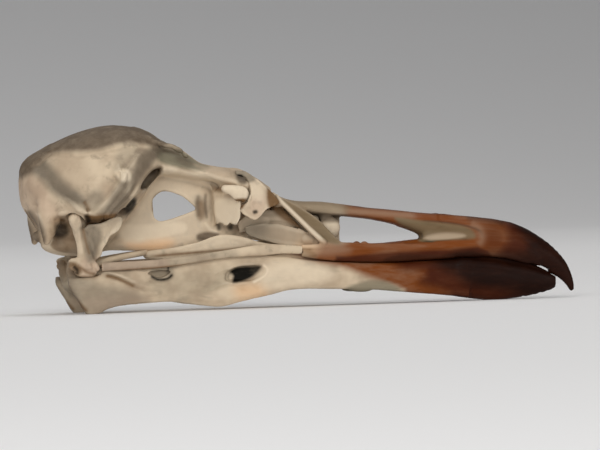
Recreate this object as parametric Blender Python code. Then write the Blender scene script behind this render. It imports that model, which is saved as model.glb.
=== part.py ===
# Gull skull with its lower jaw closed, a still museum model at life size.
# Every size is in millimetres in the skull frame: X runs forward along the bill from the back
# of the braincase, Y is sideways with the animal's left at +Y, and Z is up. An empty carries
# the whole skull and tips it onto the two back corners and the front of the lower jaw.

import math

import bmesh
import bpy
from mathutils import Matrix, Vector

MM = 0.001
BOTH_SIDES = {"right": -1, "left": 1}
GAP = 0.3  # between bones that touch

BRAINCASE_WIDTH = 32.4
REST_TILT = 1.8  # degrees that the bill drops when the skull stands on its lower jaw
REST_LIFT = 0.12  # height of the skull frame over the floor at its back
REST_BACK = 62.9  # the middle of the length, which stands over the origin

BONE = (0.78, 0.69, 0.56)
PALE_BONE = (0.86, 0.79, 0.67)
HORN = (0.16, 0.07, 0.035)


def clear_scene():
    for old in list(bpy.data.objects):
        bpy.data.objects.remove(old, do_unlink=True)


def bone_material(name, colour, roughness):
    material = bpy.data.materials.new(name)
    material.use_nodes = True
    shader = material.node_tree.nodes["Principled BSDF"]
    shader.inputs["Base Color"].default_value = (*colour, 1.0)
    shader.inputs["Roughness"].default_value = roughness
    shader.inputs["Metallic"].default_value = 0.0
    return material


def smooth_rows(rows, per_span):
    """Rows of numbers joined by a smooth curve through all of them."""
    out = []
    for i in range(len(rows) - 1):
        before = rows[max(i - 1, 0)]
        start, end = rows[i], rows[i + 1]
        after = rows[min(i + 2, len(rows) - 1)]
        for step in range(per_span):
            t = step / per_span
            out.append([
                0.5 * (2 * b + (c - a) * t + (2 * a - 5 * b + 4 * c - d) * t * t
                       + (3 * b - a - 3 * c + d) * t ** 3)
                for a, b, c, d in zip(before, start, end, after)
            ])
    out.append(list(rows[-1]))
    return out


def round_power(angle, power):
    """Point of a superellipse of half size one: power 2 is round, 4 is boxy, 1.3 is lean."""
    c, s = math.cos(angle), math.sin(angle)
    return (math.copysign(abs(c) ** (2 / power), c), math.copysign(abs(s) ** (2 / power), s))


def closed_loft(name, rings):
    """A closed mesh through rings of points, each end covered by one cap."""
    mesh = bpy.data.meshes.new(name)
    bm = bmesh.new()
    made = [[bm.verts.new(Vector(p) * MM) for p in ring] for ring in rings]
    count = len(made[0])
    for one, two in zip(made, made[1:]):
        for k in range(count):
            bm.faces.new((one[k], one[(k + 1) % count], two[(k + 1) % count], two[k]))
    bm.faces.new(list(reversed(made[0])))
    bm.faces.new(made[-1])
    bmesh.ops.recalc_face_normals(bm, faces=bm.faces)
    bm.to_mesh(mesh)
    bm.free()
    piece = bpy.data.objects.new(name, mesh)
    bpy.context.scene.collection.objects.link(piece)
    return piece


def upright_loft(name, stations, side=1, sides=20, per_span=2, upper=2.0, lower=2.0):
    """Stations of x, middle y, half width, lowest z, z of the widest level, highest z."""
    rings = []
    for x, y, half, low, wide, high in smooth_rows(stations, per_span):
        ring = []
        for k in range(sides):
            angle = 2 * math.pi * k / sides
            across, up = round_power(angle, upper if math.sin(angle) >= 0 else lower)
            reach = high - wide if up >= 0 else wide - low
            ring.append((x, side * (y + half * across), wide + reach * up))
        rings.append(ring)
    return closed_loft(name, rings)


def bar(name, points, side=1, sides=10, per_span=3, power=2.2):
    """A bent bar through points of x, y, z, half width and half height."""
    rows = smooth_rows(points, per_span)
    rings = []
    for i, (x, y, z, half_width, half_height) in enumerate(rows):
        behind, ahead = rows[max(i - 1, 0)], rows[min(i + 1, len(rows) - 1)]
        along = Vector([ahead[k] - behind[k] for k in range(3)]).normalized()
        across = Vector((0, 0, 1)).cross(along)
        if across.length < 0.2:
            across = Vector((0, 1, 0))
        across.normalize()
        up = along.cross(across).normalized()
        ring = []
        for k in range(sides):
            c, s = round_power(2 * math.pi * k / sides, power)
            p = Vector((x, y, z)) + across * (half_width * c) + up * (half_height * s)
            ring.append((p.x, side * p.y, p.z))
        rings.append(ring)
    return closed_loft(name, rings)


def plate(name, outline, y, half, side=1, lean=0.0):
    """An upright plate: an outline of x and z, from y - half to y + half, leaning out with x."""
    rings = []
    for offset in (-half, half):
        rings.append([(x, side * (y + lean * (x - outline[0][0]) + offset), z) for x, z in outline])
    return closed_loft(name, rings)


def ellipsoid(name, centre, radii, side=1, turn=(0, 0, 0), steps=(20, 12)):
    """A round lump; turn is in degrees about X, Y and Z."""
    piece = bpy.data.objects.new(name, bpy.data.meshes.new(name))
    bpy.context.scene.collection.objects.link(piece)
    bm = bmesh.new()
    bmesh.ops.create_uvsphere(bm, u_segments=steps[0], v_segments=steps[1], radius=1.0)
    spin = Matrix.Identity(4)
    for axis, degrees in zip("XYZ", turn):
        spin = Matrix.Rotation(math.radians(degrees), 4, axis) @ spin
    size = Matrix.Diagonal((*[r * MM for r in radii], 1.0))
    place = Matrix.Translation(Vector(centre) * MM)
    mirror = Matrix.Diagonal((1, side, 1, 1))
    bm.transform(mirror @ place @ spin @ size)
    if side < 0:
        bmesh.ops.reverse_faces(bm, faces=bm.faces)
    bm.to_mesh(piece.data)
    bm.free()
    return piece


def block(name, low, high):
    corners = [(low[1], low[2]), (high[1], low[2]), (high[1], high[2]), (low[1], high[2])]
    return closed_loft(name, [[(x, y, z) for y, z in corners] for x in (low[0], high[0])])


def apply_modifiers(piece):
    graph = bpy.context.evaluated_depsgraph_get()
    made = bpy.data.meshes.new_from_object(piece.evaluated_get(graph))
    piece.modifiers.clear()
    piece.data = made


def combine(body, others, operation):
    """Joins or cuts body with every mesh in others, which are then removed."""
    group = bpy.data.collections.new(body.name + "_" + operation.lower())
    bpy.context.scene.collection.children.link(group)
    for other in others:
        bpy.context.scene.collection.objects.unlink(other)
        group.objects.link(other)
    modifier = body.modifiers.new(operation.title(), "BOOLEAN")
    modifier.operation = operation
    modifier.solver = "EXACT"
    modifier.operand_type = "COLLECTION"
    modifier.collection = group
    bpy.context.view_layer.update()
    apply_modifiers(body)
    for other in list(group.objects):
        bpy.data.objects.remove(other, do_unlink=True)
    bpy.data.collections.remove(group)


def keep_largest(piece):
    """Keeps only the closed surface with the most faces."""
    bm = bmesh.new()
    bm.from_mesh(piece.data)
    left = set(bm.faces)
    largest = set()
    while left:
        seed = left.pop()
        found, edge_of = {seed}, [seed]
        while edge_of:
            face = edge_of.pop()
            for edge in face.edges:
                for near in edge.link_faces:
                    if near in left:
                        left.remove(near)
                        found.add(near)
                        edge_of.append(near)
        if len(found) > len(largest):
            largest = found
    bmesh.ops.delete(bm, geom=[f for f in bm.faces if f not in largest], context="FACES")
    bm.to_mesh(piece.data)
    bm.free()


def flesh_out(piece, voxel, rounds, share):
    """Blends the joined forms into one bone surface and thins its faces to a share of them."""
    remesh = piece.modifiers.new("Blend", "REMESH")
    remesh.mode = "VOXEL"
    remesh.voxel_size = voxel * MM
    soften = piece.modifiers.new("Soften", "SMOOTH")
    soften.factor = 0.5
    soften.iterations = rounds
    apply_modifiers(piece)
    keep_largest(piece)
    thin = piece.modifiers.new("Thin", "DECIMATE")
    thin.ratio = share
    apply_modifiers(piece)


def finish_bone(piece, node, material, carrier):
    """Names the node, colours it, shades it and hangs it on the empty that carries the skull."""
    keep_largest(piece)
    piece.name = node
    piece.data.name = node
    piece.data.materials.clear()
    piece.data.materials.append(material)
    piece.data.shade_smooth()
    piece.data.set_sharp_from_angle(angle=math.radians(50))
    piece.parent = carrier
    return piece


# Braincase and brow: x, middle y, half width, lowest z, widest z, highest z
BRAINCASE = [
    (0.0, 0, 0.8, 27.6, 29.0, 30.4),
    (0.5, 0, 4.6, 24.6, 28.8, 33.0),
    (2.0, 0, 8.6, 21.2, 27.6, 34.8),
    (5.0, 0, 12.0, 17.6, 25.8, 36.7),
    (9.0, 0, 14.4, 15.4, 24.6, 38.9),
    (14.0, 0, 15.9, 14.2, 24.2, 40.9),
    (19.0, 0, BRAINCASE_WIDTH / 2, 15.0, 25.0, 42.1),
    (23.0, 0, 15.2, 20.0, 28.0, 42.1),
    (26.5, 0, 12.6, 24.6, 31.0, 41.5),
    (29.5, 0, 9.0, 28.8, 33.4, 40.2),
    (32.0, 0, 4.6, 31.6, 34.6, 38.4),
]
BROW = [
    (26.0, 0, 11.4, 31.4, 33.6, 41.4),
    (29.0, 0, 9.0, 31.3, 33.2, 40.3),
    (31.7, 0, 7.2, 31.0, 32.8, 38.7),
    (34.7, 0, 6.3, 30.8, 32.4, 37.9),
    (37.5, 0, 6.1, 30.3, 31.8, 36.1),
    (40.6, 0, 6.7, 29.6, 31.0, 33.8),
    (43.5, 0, 7.9, 28.9, 30.4, 33.2),
    (46.5, 0, 9.2, 28.0, 29.8, 32.8),
    (49.0, 0, 8.9, 27.4, 29.0, 32.6),
    (51.5, 0, 8.3, 26.4, 28.0, 31.5),
    (54.0, 0, 7.7, 25.2, 26.6, 29.9),
    (56.5, 0, 7.2, 24.2, 25.4, 27.7),
    (58.6, 0, 6.9, 23.6, 24.6, 26.3),
]
HINGE_X = 56.5  # where the bill bends on the brow
SEPTUM_HALF = 0.65
SEPTUM = [(22, 33), (30, 34.5), (44, 31.5), (50.5, 30), (57.5, 26.5), (57.5, 16.9), (50, 17.0),
          (45.2, 16.4), (41.8, 15.8), (36, 14.8), (29, 14.5), (18, 15.2), (16, 20)]
ETHMOID = [(43.8, 29.0), (47.6, 29.4), (48.2, 24.6), (47.6, 20.8), (46.2, 19.8), (44.6, 20.6),
           (43.8, 22.9)]
EYE_WINDOW = [(29.9, 24.8), (30.1, 26.1), (31.7, 27.3), (33.5, 27.5), (35.2, 27.0), (36.8, 26.2),
              (38.4, 25.0), (39.5, 23.9), (39.3, 23.2), (37.9, 22.7), (36.2, 22.1), (33.9, 21.3),
              (31.7, 20.8), (30.6, 21.2), (30.0, 22.4)]


def make_cranium(material, carrier):
    skull = upright_loft("braincase", BRAINCASE, sides=28, upper=2.15, lower=1.45)
    parts = [
        upright_loft("brow", BROW, sides=20, upper=1.5, lower=2.4),
        plate("septum", SEPTUM, 0, SEPTUM_HALF),
        bar("rostrum", [(14, 0, 15.6, 2.6, 1.9), (20, 0, 15.8, 1.7, 1.3), (30, 0, 15.6, 1.1, 1.1),
                        (38, 0, 16.2, 0.9, 1.0), (46, 0, 17.8, 0.8, 1.0)]),
        ellipsoid("basitemporal", (11.5, 0, 15.6), (6.6, 6.4, 2.5)),
        ellipsoid("condyle", (2.9, 0, 17.7), (1.4, 1.5, 1.3)),
        bar("condyle_neck", [(3.2, 0, 17.6, 1.1, 1.0), (8, 0, 17.0, 2.6, 2.4)]),
        bar("crest", [(0.9, 0, 31.6, 1.0, 0.9), (2.6, 0, 34.2, 1.2, 0.8), (7, 0, 36.8, 1.0, 0.8)]),
    ]
    for side in BOTH_SIDES.values():
        parts += [
            bar("paroccipital", [(6.4, 10.2, 24.6, 2.2, 3.6), (5.8, 11.5, 21.2, 1.3, 2.7),
                                 (5.2, 12.2, 18.4, 0.9, 1.6), (4.8, 12.5, 16.2, 0.6, 0.7)], side),
            bar("nuchal_crest", [(3.6, 5.4, 31.6, 0.9, 0.9), (4.6, 9.0, 31.4, 1.0, 1.0),
                                 (6.6, 12.0, 29.2, 1.1, 1.1), (9.0, 14.0, 26.4, 1.2, 1.0),
                                 (11.6, 15.1, 23.8, 1.2, 1.0), (13.4, 15.2, 22.8, 0.8, 0.8)], side),
            bar("postorbital", [(20.0, 11.6, 33.6, 2.2, 1.6), (20.8, 14.2, 32.2, 1.9, 1.3),
                                (21.3, 15.6, 30.7, 1.2, 1.0), (21.5, 15.9, 29.8, 0.7, 0.6)], side),
            bar("orbit_edge", [(22.0, 14.0, 31.0, 0.9, 1.2), (20.4, 13.6, 26.6, 0.9, 1.2),
                               (17.6, 12.8, 22.6, 0.9, 1.2), (14.6, 12.2, 20.4, 1.0, 1.2)], side),
            bar("ear_roof", [(8.0, 12.6, 22.6, 1.2, 1.0), (11.0, 13.4, 23.9, 1.6, 1.0),
                             (14.0, 13.4, 22.6, 1.2, 1.0)], side),
            plate("ethmoid", ETHMOID, 1.2, 1.3, side, lean=1.4),
            bar("brow_strut", [(48.2, 1.2, 28.6, 2.2, 1.6), (49.6, 7.8, 29.0, 2.2, 1.1)], side),
        ]
    combine(skull, parts, "UNION")
    cuts = [
        plate("eye_window", EYE_WINDOW, 0, 3.0),
        ellipsoid("foramen", (2.6, 0, 21.2), (3.4, 3.0, 2.6), turn=(0, 20, 0)),
    ]
    for side in BOTH_SIDES.values():
        cuts += [
            ellipsoid("temple_back", (11.0, 18.0, 32.6), (7.0, 5.4, 6.0), side, turn=(24, 30, -14)),
            ellipsoid("temple_front", (16.2, 18.6, 31.8), (5.2, 5.0, 6.2), side, turn=(20, 24, 6)),
            ellipsoid("ear", (10.6, 12.8, 17.4), (3.6, 4.4, 4.6), side),
            ellipsoid("jaw_joint_room", (17.2, 12.6, 16.0), (6.8, 5.6, 5.2), side),
            ellipsoid("jaw_muscle_room", (21.0, 9.8, 19.8), (3.8, 3.6, 4.2), side),
            bar("quadrate_socket", [(10.9, 12.3, 22.4, 1.3, 1.3), (11.0, 12.3, 21.2, 2.0, 2.0),
                                    (11.8, 12.2, 18.0, 2.2, 2.2), (13.0, 12.0, 14.0, 2.6, 2.6)], side),
            ellipsoid("optic_hole", (23.4, 4.0, 23.8), (2.4, 2.4, 2.5), side),
            ellipsoid("brain_hole", (28.0, 3.4, 29.7), (3.2, 2.0, 1.5), side, turn=(0, -50, 0)),
            bar("salt_gland", [(30.5, 7.0, 38.4, 1.6, 1.1), (34.5, 4.7, 37.6, 1.9, 1.3),
                               (38.5, 4.4, 35.4, 1.9, 1.3), (42.5, 5.6, 33.7, 1.3, 0.9)], side),
        ]
    combine(skull, cuts, "DIFFERENCE")
    flesh_out(skull, voxel=0.5, rounds=3, share=0.075)
    front = block("front", (HINGE_X - GAP / 2, -20, 15), (70, 20, 40))
    combine(skull, [front], "DIFFERENCE")
    return finish_bone(skull, "cranium", material, carrier)


# Upper bill
CULMEN = [
    (55.0, 0, 7.9, 24.0, 25.2, 28.9),
    (58.0, 0, 7.0, 23.8, 24.7, 26.6),
    (60.8, 0, 6.2, 23.4, 24.3, 25.6),
    (64.0, 0, 4.8, 22.6, 23.8, 25.3),
    (68.0, 0, 3.6, 22.2, 23.4, 25.2),
    (73.0, 0, 2.8, 21.9, 23.0, 24.6),
    (78.5, 0, 2.6, 21.3, 22.4, 23.9),
    (84.0, 0, 2.7, 20.2, 21.6, 23.4),
    (89.0, 0, 3.0, 18.4, 20.8, 22.9),
    (94.0, 0, 3.3, 16.0, 20.0, 22.5),
]
BILL_TIP = [
    (90.3, 0, 1.0, 15.9, 17.0, 17.9),
    (91.4, 0, 3.0, 13.9, 15.6, 20.6),
    (94.0, 0, 4.7, 12.6, 15.0, 22.5),
    (98.5, 0, 4.6, 12.8, 15.0, 22.2),
    (104.0, 0, 4.4, 12.8, 15.4, 21.7),
    (108.0, 0, 4.1, 12.4, 15.2, 21.2),
    (111.5, 0, 3.6, 11.7, 14.4, 20.3),
    (115.0, 0, 3.0, 10.9, 13.4, 18.7),
    (117.5, 0, 2.4, 10.2, 12.4, 16.6),
]


CHEEK = [(54.6, 23.2), (57.0, 25.2), (62.0, 24.2), (64.0, 21.5), (60.0, 19.0), (54.6, 19.0)]


def make_upper_bill(material, carrier):
    bill = upright_loft("culmen", CULMEN, sides=16, upper=2.0, lower=2.4)
    parts = [
        upright_loft("tip", BILL_TIP, sides=20, upper=1.9, lower=4.0),
        bar("hook", [(110.5, 0, 16.2, 3.5, 4.1), (114.8, 0, 14.7, 2.95, 3.75), (118.6, 0, 12.7, 2.25, 3.0),
                     (121.2, 0, 10.7, 1.6, 2.1), (123.0, 0, 8.8, 1.1, 1.35), (124.1, 0, 7.0, 0.7, 0.8),
                     (124.6, 0, 5.8, 0.35, 0.4)], sides=16),
        plate("nose_wall", [(85.0, 21.5), (94, 22), (100, 20), (100, 14), (92, 13.4), (88.6, 15.4),
                            (90.3, 16.6), (90.3, 17.6), (89.4, 18.4), (87.9, 19.0), (85.2, 19.8)],
              0, 0.7),
        plate("inner_wall", [(55.4, 25.4), (72.0, 22.6), (72.0, 16.4), (62.0, 16.4), (55.4, 17.0)],
              0, 0.65),
    ]
    for side in BOTH_SIDES.values():
        parts += [
            upright_loft("cutting_edge", [
                (62.4, 7.1, 0.65, 13.0, 14.4, 15.6), (66.0, 6.6, 0.8, 12.4, 14.2, 15.8),
                (70.0, 6.2, 0.9, 12.0, 14.0, 16.2), (76.0, 5.6, 0.95, 11.8, 13.8, 16.0),
                (84.0, 4.85, 1.0, 11.8, 13.9, 15.8), (92.0, 4.0, 1.1, 12.3, 14.2, 16.2),
                (97.0, 3.5, 1.0, 12.8, 14.4, 15.8)],
                side, sides=12, upper=2.6, lower=2.6),
            bar("nasal_bar", [(55.6, 5.4, 26.2, 1.4, 1.2), (59.9, 6.1, 24.1, 1.0, 0.85),
                              (63.3, 6.4, 20.8, 0.75, 0.8), (66.7, 6.4, 17.6, 0.75, 0.9),
                              (70.2, 6.0, 15.2, 0.8, 1.0)], side),
            bar("palate_shelf", [(67.5, 4.6, 14.7, 1.8, 0.7), (74, 3.7, 15.0, 1.9, 0.7),
                                 (82, 2.8, 15.3, 2.2, 0.7), (91, 2.0, 15.8, 2.2, 1.2)], side, per_span=2),
            bar("inner_plate", [(68.6, 5.0, 15.6, 0.6, 1.4), (63.5, 4.7, 17.3, 0.6, 1.8),
                                (57.5, 4.3, 18.4, 0.6, 2.4), (52.5, 3.7, 18.9, 0.6, 1.9)], side),
            plate("cheek", CHEEK, 2.6, 0.5, side),
            ellipsoid("conch", (69.6, 1.7, 19.4), (2.3, 1.9, 2.5), side),
            bar("conch_root", [(68.5, 2.4, 17.6, 0.9, 1.2), (69.5, 4.4, 15.0, 1.0, 1.0)], side),
            bar("conch_roof", [(69.4, 1.2, 20.6, 0.9, 1.2), (67.6, 1.2, 23.2, 0.9, 1.2)], side),
        ]
    combine(bill, parts, "UNION")
    cuts = [
        upright_loft("mouth_roof", [(83, 0, 2.4, 11.0, 12.0, 13.9), (90, 0, 3.1, 10.6, 12.2, 14.4),
                                    (106, 0, 3.1, 10.6, 12.2, 14.4), (112, 0, 2.5, 9.8, 11.4, 13.4),
                                    (116, 0, 1.9, 9.0, 10.4, 12.0), (119.6, 0, 1.2, 8.2, 9.4, 10.6)],
                     sides=18, upper=4.0),
    ]
    for side in BOTH_SIDES.values():
        cuts.append(bar("nose_groove", [(87.0, 4.9, 18.0, 2.3, 2.2), (94.0, 5.0, 18.2, 1.9, 1.9),
                                        (103.0, 5.4, 18.0, 1.5, 1.5)], side))
    combine(bill, cuts, "DIFFERENCE")
    flesh_out(bill, voxel=0.38, rounds=2, share=0.052)
    back = [block("back", (40, -20, 23.4), (HINGE_X + GAP / 2, 20, 40)),
            block("back_middle", (40, -1.6, 14), (HINGE_X + GAP / 2, 1.6, 24))]
    combine(bill, back, "DIFFERENCE")
    return finish_bone(bill, "upper_bill", material, carrier)


# Lower jaw, one side of its fork: x, middle y, half width, lowest z, widest z, highest z
RAMUS = [
    (9.6, 12.3, 1.1, 6.6, 7.4, 8.4),
    (11.5, 12.6, 1.9, 3.6, 5.6, 8.3),
    (14.2, 12.7, 2.0, -0.1, 3.4, 8.0),
    (18.5, 12.4, 1.6, 1.4, 5.0, 9.9),
    (22.5, 12.2, 1.4, 2.2, 6.0, 10.7),
    (28.0, 11.7, 1.25, 2.8, 6.4, 11.0),
    (33.0, 11.2, 1.2, 3.0, 6.8, 11.4),
    (39.5, 10.3, 1.2, 2.2, 7.0, 12.4),
    (44.0, 9.7, 1.2, 1.9, 7.2, 13.0),
    (49.0, 8.9, 1.2, 3.1, 8.0, 13.2),
    (55.0, 7.9, 1.2, 4.4, 8.6, 13.2),
    (60.0, 7.1, 1.25, 5.6, 9.0, 12.8),
    (65.0, 6.5, 1.3, 5.8, 9.0, 12.1),
    (72.0, 5.8, 1.35, 5.7, 8.8, 11.7),
    (80.0, 4.9, 1.4, 5.5, 8.6, 11.5),
    (88.0, 4.0, 1.5, 4.9, 8.6, 11.8),
    (96.0, 3.0, 1.7, 4.3, 8.6, 12.4),
    (101.0, 2.2, 1.8, 3.8, 8.4, 12.5),
]
JAW_TIP = [
    (96.0, 0, 3.2, 4.4, 7.6, 9.0),
    (99.0, 0, 4.3, 3.9, 8.6, 12.6),
    (104.0, 0, 4.1, 3.3, 8.6, 12.6),
    (107.0, 0, 3.8, 2.9, 8.4, 12.3),
    (110.5, 0, 3.3, 3.4, 8.0, 11.6),
    (115.0, 0, 2.5, 4.1, 7.6, 10.7),
    (118.2, 0, 1.9, 4.8, 7.1, 9.5),
    (120.1, 0, 1.4, 5.6, 7.2, 8.8),
]
TOP_RIDGE = [
    (54.0, 7.4, 11.4, 0.35, 1.2),
    (57.0, 6.9, 11.9, 0.4, 1.5),
    (60.0, 6.2, 12.1, 0.4, 1.6),
    (62.5, 5.6, 12.1, 0.4, 1.6),
    (66.0, 4.95, 11.4, 0.45, 1.6),
    (70.0, 4.5, 11.3, 0.5, 1.5),
    (76.0, 3.75, 11.5, 0.5, 1.6),
    (80.5, 3.55, 11.6, 0.42, 1.65),
    (84.0, 2.95, 11.6, 0.55, 1.7),
    (92.0, 2.1, 11.8, 0.6, 1.8),
    (98.0, 2.05, 12.0, 0.6, 1.7),
    (106.0, 2.0, 11.8, 0.6, 1.7),
    (112.0, 1.4, 10.8, 0.55, 1.6),
    (116.0, 0.9, 9.9, 0.5, 1.3),
    (119.0, 0.5, 8.8, 0.4, 1.0),
]
JAW_WINDOW = [(45.2, 8.0), (45.8, 9.6), (48.5, 10.6), (52.4, 10.6), (53.4, 9.8), (51.8, 8.4),
              (48.6, 7.4), (46.2, 7.2)]
JAW_SMALL_WINDOW = [(27.4, 9.5), (28.2, 8.8), (30.0, 8.4), (31.6, 8.9), (32.4, 9.8), (30.0, 10.0)]


def make_mandible(material, carrier):
    jaw = upright_loft("jaw_tip", JAW_TIP, sides=18, upper=4.0, lower=1.8)
    parts = []
    for side in BOTH_SIDES.values():
        parts += [
            upright_loft("ramus", RAMUS, side, sides=14, per_span=2, upper=2.2, lower=2.6),
            bar("top_ridge", TOP_RIDGE, side, per_span=2),
            bar("joint", [(13.6, 13.4, 6.4, 2.6, 1.7), (13.2, 10.0, 6.2, 2.6, 1.6),
                          (12.2, 7.4, 7.0, 1.8, 1.4)], side),
            bar("inner_process", [(12.2, 8.4, 6.8, 1.4, 1.5), (10.9, 7.6, 9.4, 1.1, 1.2),
                                  (10.6, 8.2, 11.4, 0.8, 0.8)], side),
        ]
    combine(jaw, parts, "UNION")
    cuts = [
        upright_loft("trough", [(94, 0, 0.8, 8.0, 10, 16), (100, 0, 1.3, 7.6, 10.6, 16),
                                (110, 0, 1.1, 7.6, 10.4, 16), (115, 0, 0.5, 7.8, 9.6, 16)],
                     sides=12, per_span=2),
    ]
    for side in BOTH_SIDES.values():
        cuts += [
            plate("window", JAW_WINDOW, 12.1, 3.0, side, lean=-0.17),
            plate("small_window", JAW_SMALL_WINDOW, 14.1, 3.0, side),
        ]
    combine(jaw, cuts, "DIFFERENCE")
    flesh_out(jaw, voxel=0.42, rounds=2, share=0.055)
    floor = block("floor", (-20, -30, -20), (150, 30, 0))
    floor.data.transform(carrier.matrix_world.inverted() @ Matrix.Translation((-REST_BACK * MM, 0, 0)))
    combine(jaw, [floor], "DIFFERENCE")
    return finish_bone(jaw, "mandible", material, carrier)


ORBITAL_PROCESS = [(13.2, 17.6), (17.2, 19.6), (20.4, 21.5), (21.8, 21.8), (22.1, 20.7), (21.3, 18.9),
                   (19.5, 17.6), (18.6, 16.2), (17.5, 14.4), (16.8, 12.9), (13.6, 11.8)]


def make_quadrate(name, side, material, carrier):
    bone = bar("shaft", [(11.0, 12.3, 21.4, 1.3, 1.35), (11.9, 12.2, 18.6, 1.2, 1.25),
                         (12.9, 12.1, 15.2, 1.2, 1.35), (13.6, 12.0, 11.8, 1.7, 1.9)], side, sides=12)
    parts = [
        ellipsoid("lateral_condyle", (13.4, 12.9, 10.3), (3.2, 1.6, 1.85), side, steps=(14, 8)),
        ellipsoid("rear_lump", (10.9, 12.3, 11.4), (1.4, 1.2, 1.3), side, steps=(14, 8)),
        ellipsoid("medial_condyle", (13.8, 8.6, 10.2), (1.7, 1.8, 1.35), side, steps=(14, 8)),
        bar("bridge", [(13.6, 12.4, 11.2, 1.5, 1.2), (13.8, 8.6, 10.8, 1.2, 1.0)], side),
        plate("orbital_process", ORBITAL_PROCESS, 12.0, 0.5, side, lean=-0.42),
    ]
    combine(bone, parts, "UNION")
    flesh_out(bone, voxel=0.3, rounds=2, share=0.055)
    return finish_bone(bone, name, material, carrier)


def make_jugal_bar(name, side, material, carrier):
    bone = bar("jugal", [(16.95, 13.4, 10.7, 0.7, 1.0), (22.0, 13.65, 11.0, 0.6, 1.0),
                         (27.5, 13.4, 11.25, 0.6, 1.03), (33.2, 12.85, 11.8, 0.6, 0.98),
                         (39.2, 11.95, 12.7, 0.55, 0.85), (46.1, 11.0, 13.7, 0.55, 0.95),
                         (52.8, 9.95, 14.4, 0.6, 1.3), (57.5, 8.9, 14.65, 0.6, 1.1),
                         (62.1, 7.25, 14.45, 0.55, 0.9)],
               side, sides=8, per_span=2)
    return finish_bone(bone, name, material, carrier)


def make_pterygoid(name, side, material, carrier):
    bone = bar("pterygoid", [(15.6, 8.4, 11.3, 0.9, 0.8), (19.0, 7.2, 12.2, 0.65, 0.7),
                             (23.5, 4.9, 13.1, 0.6, 0.7), (28.2, 2.5, 13.9, 0.8, 0.6)],
               side, sides=10)
    return finish_bone(bone, name, material, carrier)


def make_palatine(name, side, material, carrier):
    bone = bar("palatine", [(29.0, 2.7, 13.4, 0.9, 0.95), (34.6, 3.6, 13.7, 0.6, 1.35),
                            (40.0, 4.4, 14.8, 0.5, 1.5), (44.4, 4.9, 15.8, 0.5, 2.0),
                            (48.6, 4.9, 16.1, 0.5, 1.5), (53.4, 4.6, 15.4, 0.6, 0.8),
                            (59.0, 4.3, 14.9, 0.8, 0.6), (65.4, 4.2, 14.6, 1.0, 0.5)],
               side, sides=8, per_span=2)
    return finish_bone(bone, name, material, carrier)


LACRIMAL = [(49.4, 30.0), (54.6, 28.6), (55.1, 25.2), (54.6, 22.0), (54.4, 19.4), (53.8, 17.0),
            (52.6, 16.8), (51.6, 20.4), (50.4, 23.0), (49.8, 26.4)]


def make_lacrimal(name, side, material, carrier):
    bone = plate("body", LACRIMAL, 9.45, 0.65, side)
    knob = bar("knob", [(51.2, 9.45, 26.2, 0.6, 2.2), (48.6, 9.7, 26.8, 0.9, 1.5), (46.6, 9.8, 26.6, 0.8, 1.0),
                        (45.8, 9.7, 26.5, 0.5, 0.5)], side)
    combine(bone, [knob], "UNION")
    flesh_out(bone, voxel=0.3, rounds=2, share=0.07)
    return finish_bone(bone, name, material, carrier)


def make_vomer(material, carrier):
    bone = bar("vomer", [(46.6, 0, 15.7, 0.4, 0.4), (54, 0, 15.8, 0.45, 0.7), (64.0, 0, 15.3, 0.4, 0.5)],
               sides=8)
    return finish_bone(bone, "vomer", material, carrier)


def build():
    clear_scene()
    carrier = bpy.data.objects.new("skull_rest", None)
    bpy.context.scene.collection.objects.link(carrier)
    bone = bone_material("bone", BONE, 0.55)
    pale = bone_material("pale_bone", PALE_BONE, 0.5)
    horn = bone_material("stained_bill", HORN, 0.35)
    tilt = math.radians(REST_TILT)
    carrier.rotation_euler = (0, tilt, 0)
    carrier.location = (-REST_BACK * MM, 0, REST_LIFT * MM)
    bpy.context.view_layer.update()
    make_cranium(bone, carrier)
    make_upper_bill(horn, carrier)
    make_mandible(bone, carrier)
    make_vomer(pale, carrier)
    for word, side in BOTH_SIDES.items():
        make_quadrate("quadrate_" + word, side, bone, carrier)
        make_jugal_bar("jugal_bar_" + word, side, pale, carrier)
        make_pterygoid("pterygoid_" + word, side, pale, carrier)
        make_palatine("palatine_" + word, side, pale, carrier)
        make_lacrimal("lacrimal_" + word, side, pale, carrier)


build()
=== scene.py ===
import math
import bpy
import numpy as np
from mathutils import Matrix, Vector


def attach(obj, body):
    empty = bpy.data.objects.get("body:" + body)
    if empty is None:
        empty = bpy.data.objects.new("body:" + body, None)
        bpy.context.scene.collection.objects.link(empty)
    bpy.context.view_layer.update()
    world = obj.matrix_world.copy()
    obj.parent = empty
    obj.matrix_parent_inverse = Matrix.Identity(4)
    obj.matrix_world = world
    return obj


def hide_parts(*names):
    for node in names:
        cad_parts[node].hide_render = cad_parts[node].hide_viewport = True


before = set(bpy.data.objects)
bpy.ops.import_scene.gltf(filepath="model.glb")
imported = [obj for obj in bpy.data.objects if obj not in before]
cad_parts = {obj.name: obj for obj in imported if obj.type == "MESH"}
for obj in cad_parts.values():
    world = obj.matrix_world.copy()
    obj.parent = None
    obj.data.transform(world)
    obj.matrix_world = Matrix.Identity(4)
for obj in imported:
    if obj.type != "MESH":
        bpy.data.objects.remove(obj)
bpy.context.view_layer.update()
print("frame loaded")

# The bones are shaped in millimetres in the skull's own frame: x forward along the bill from the
# back of the braincase, y to the animal's left, z up. `rest` stands the skull on the floor.
mm = 0.001
rest = {"tilt": 1.8, "back": 62.9, "lift": 0.12}
photo = {"pixel": 0.2222, "yaw": 8.5, "backColumn": 19, "floorRow": 315, "centre": (300, 225), "width": 600}

tilt = math.radians(rest["tilt"])
yaw = math.radians(photo["yaw"])


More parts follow.
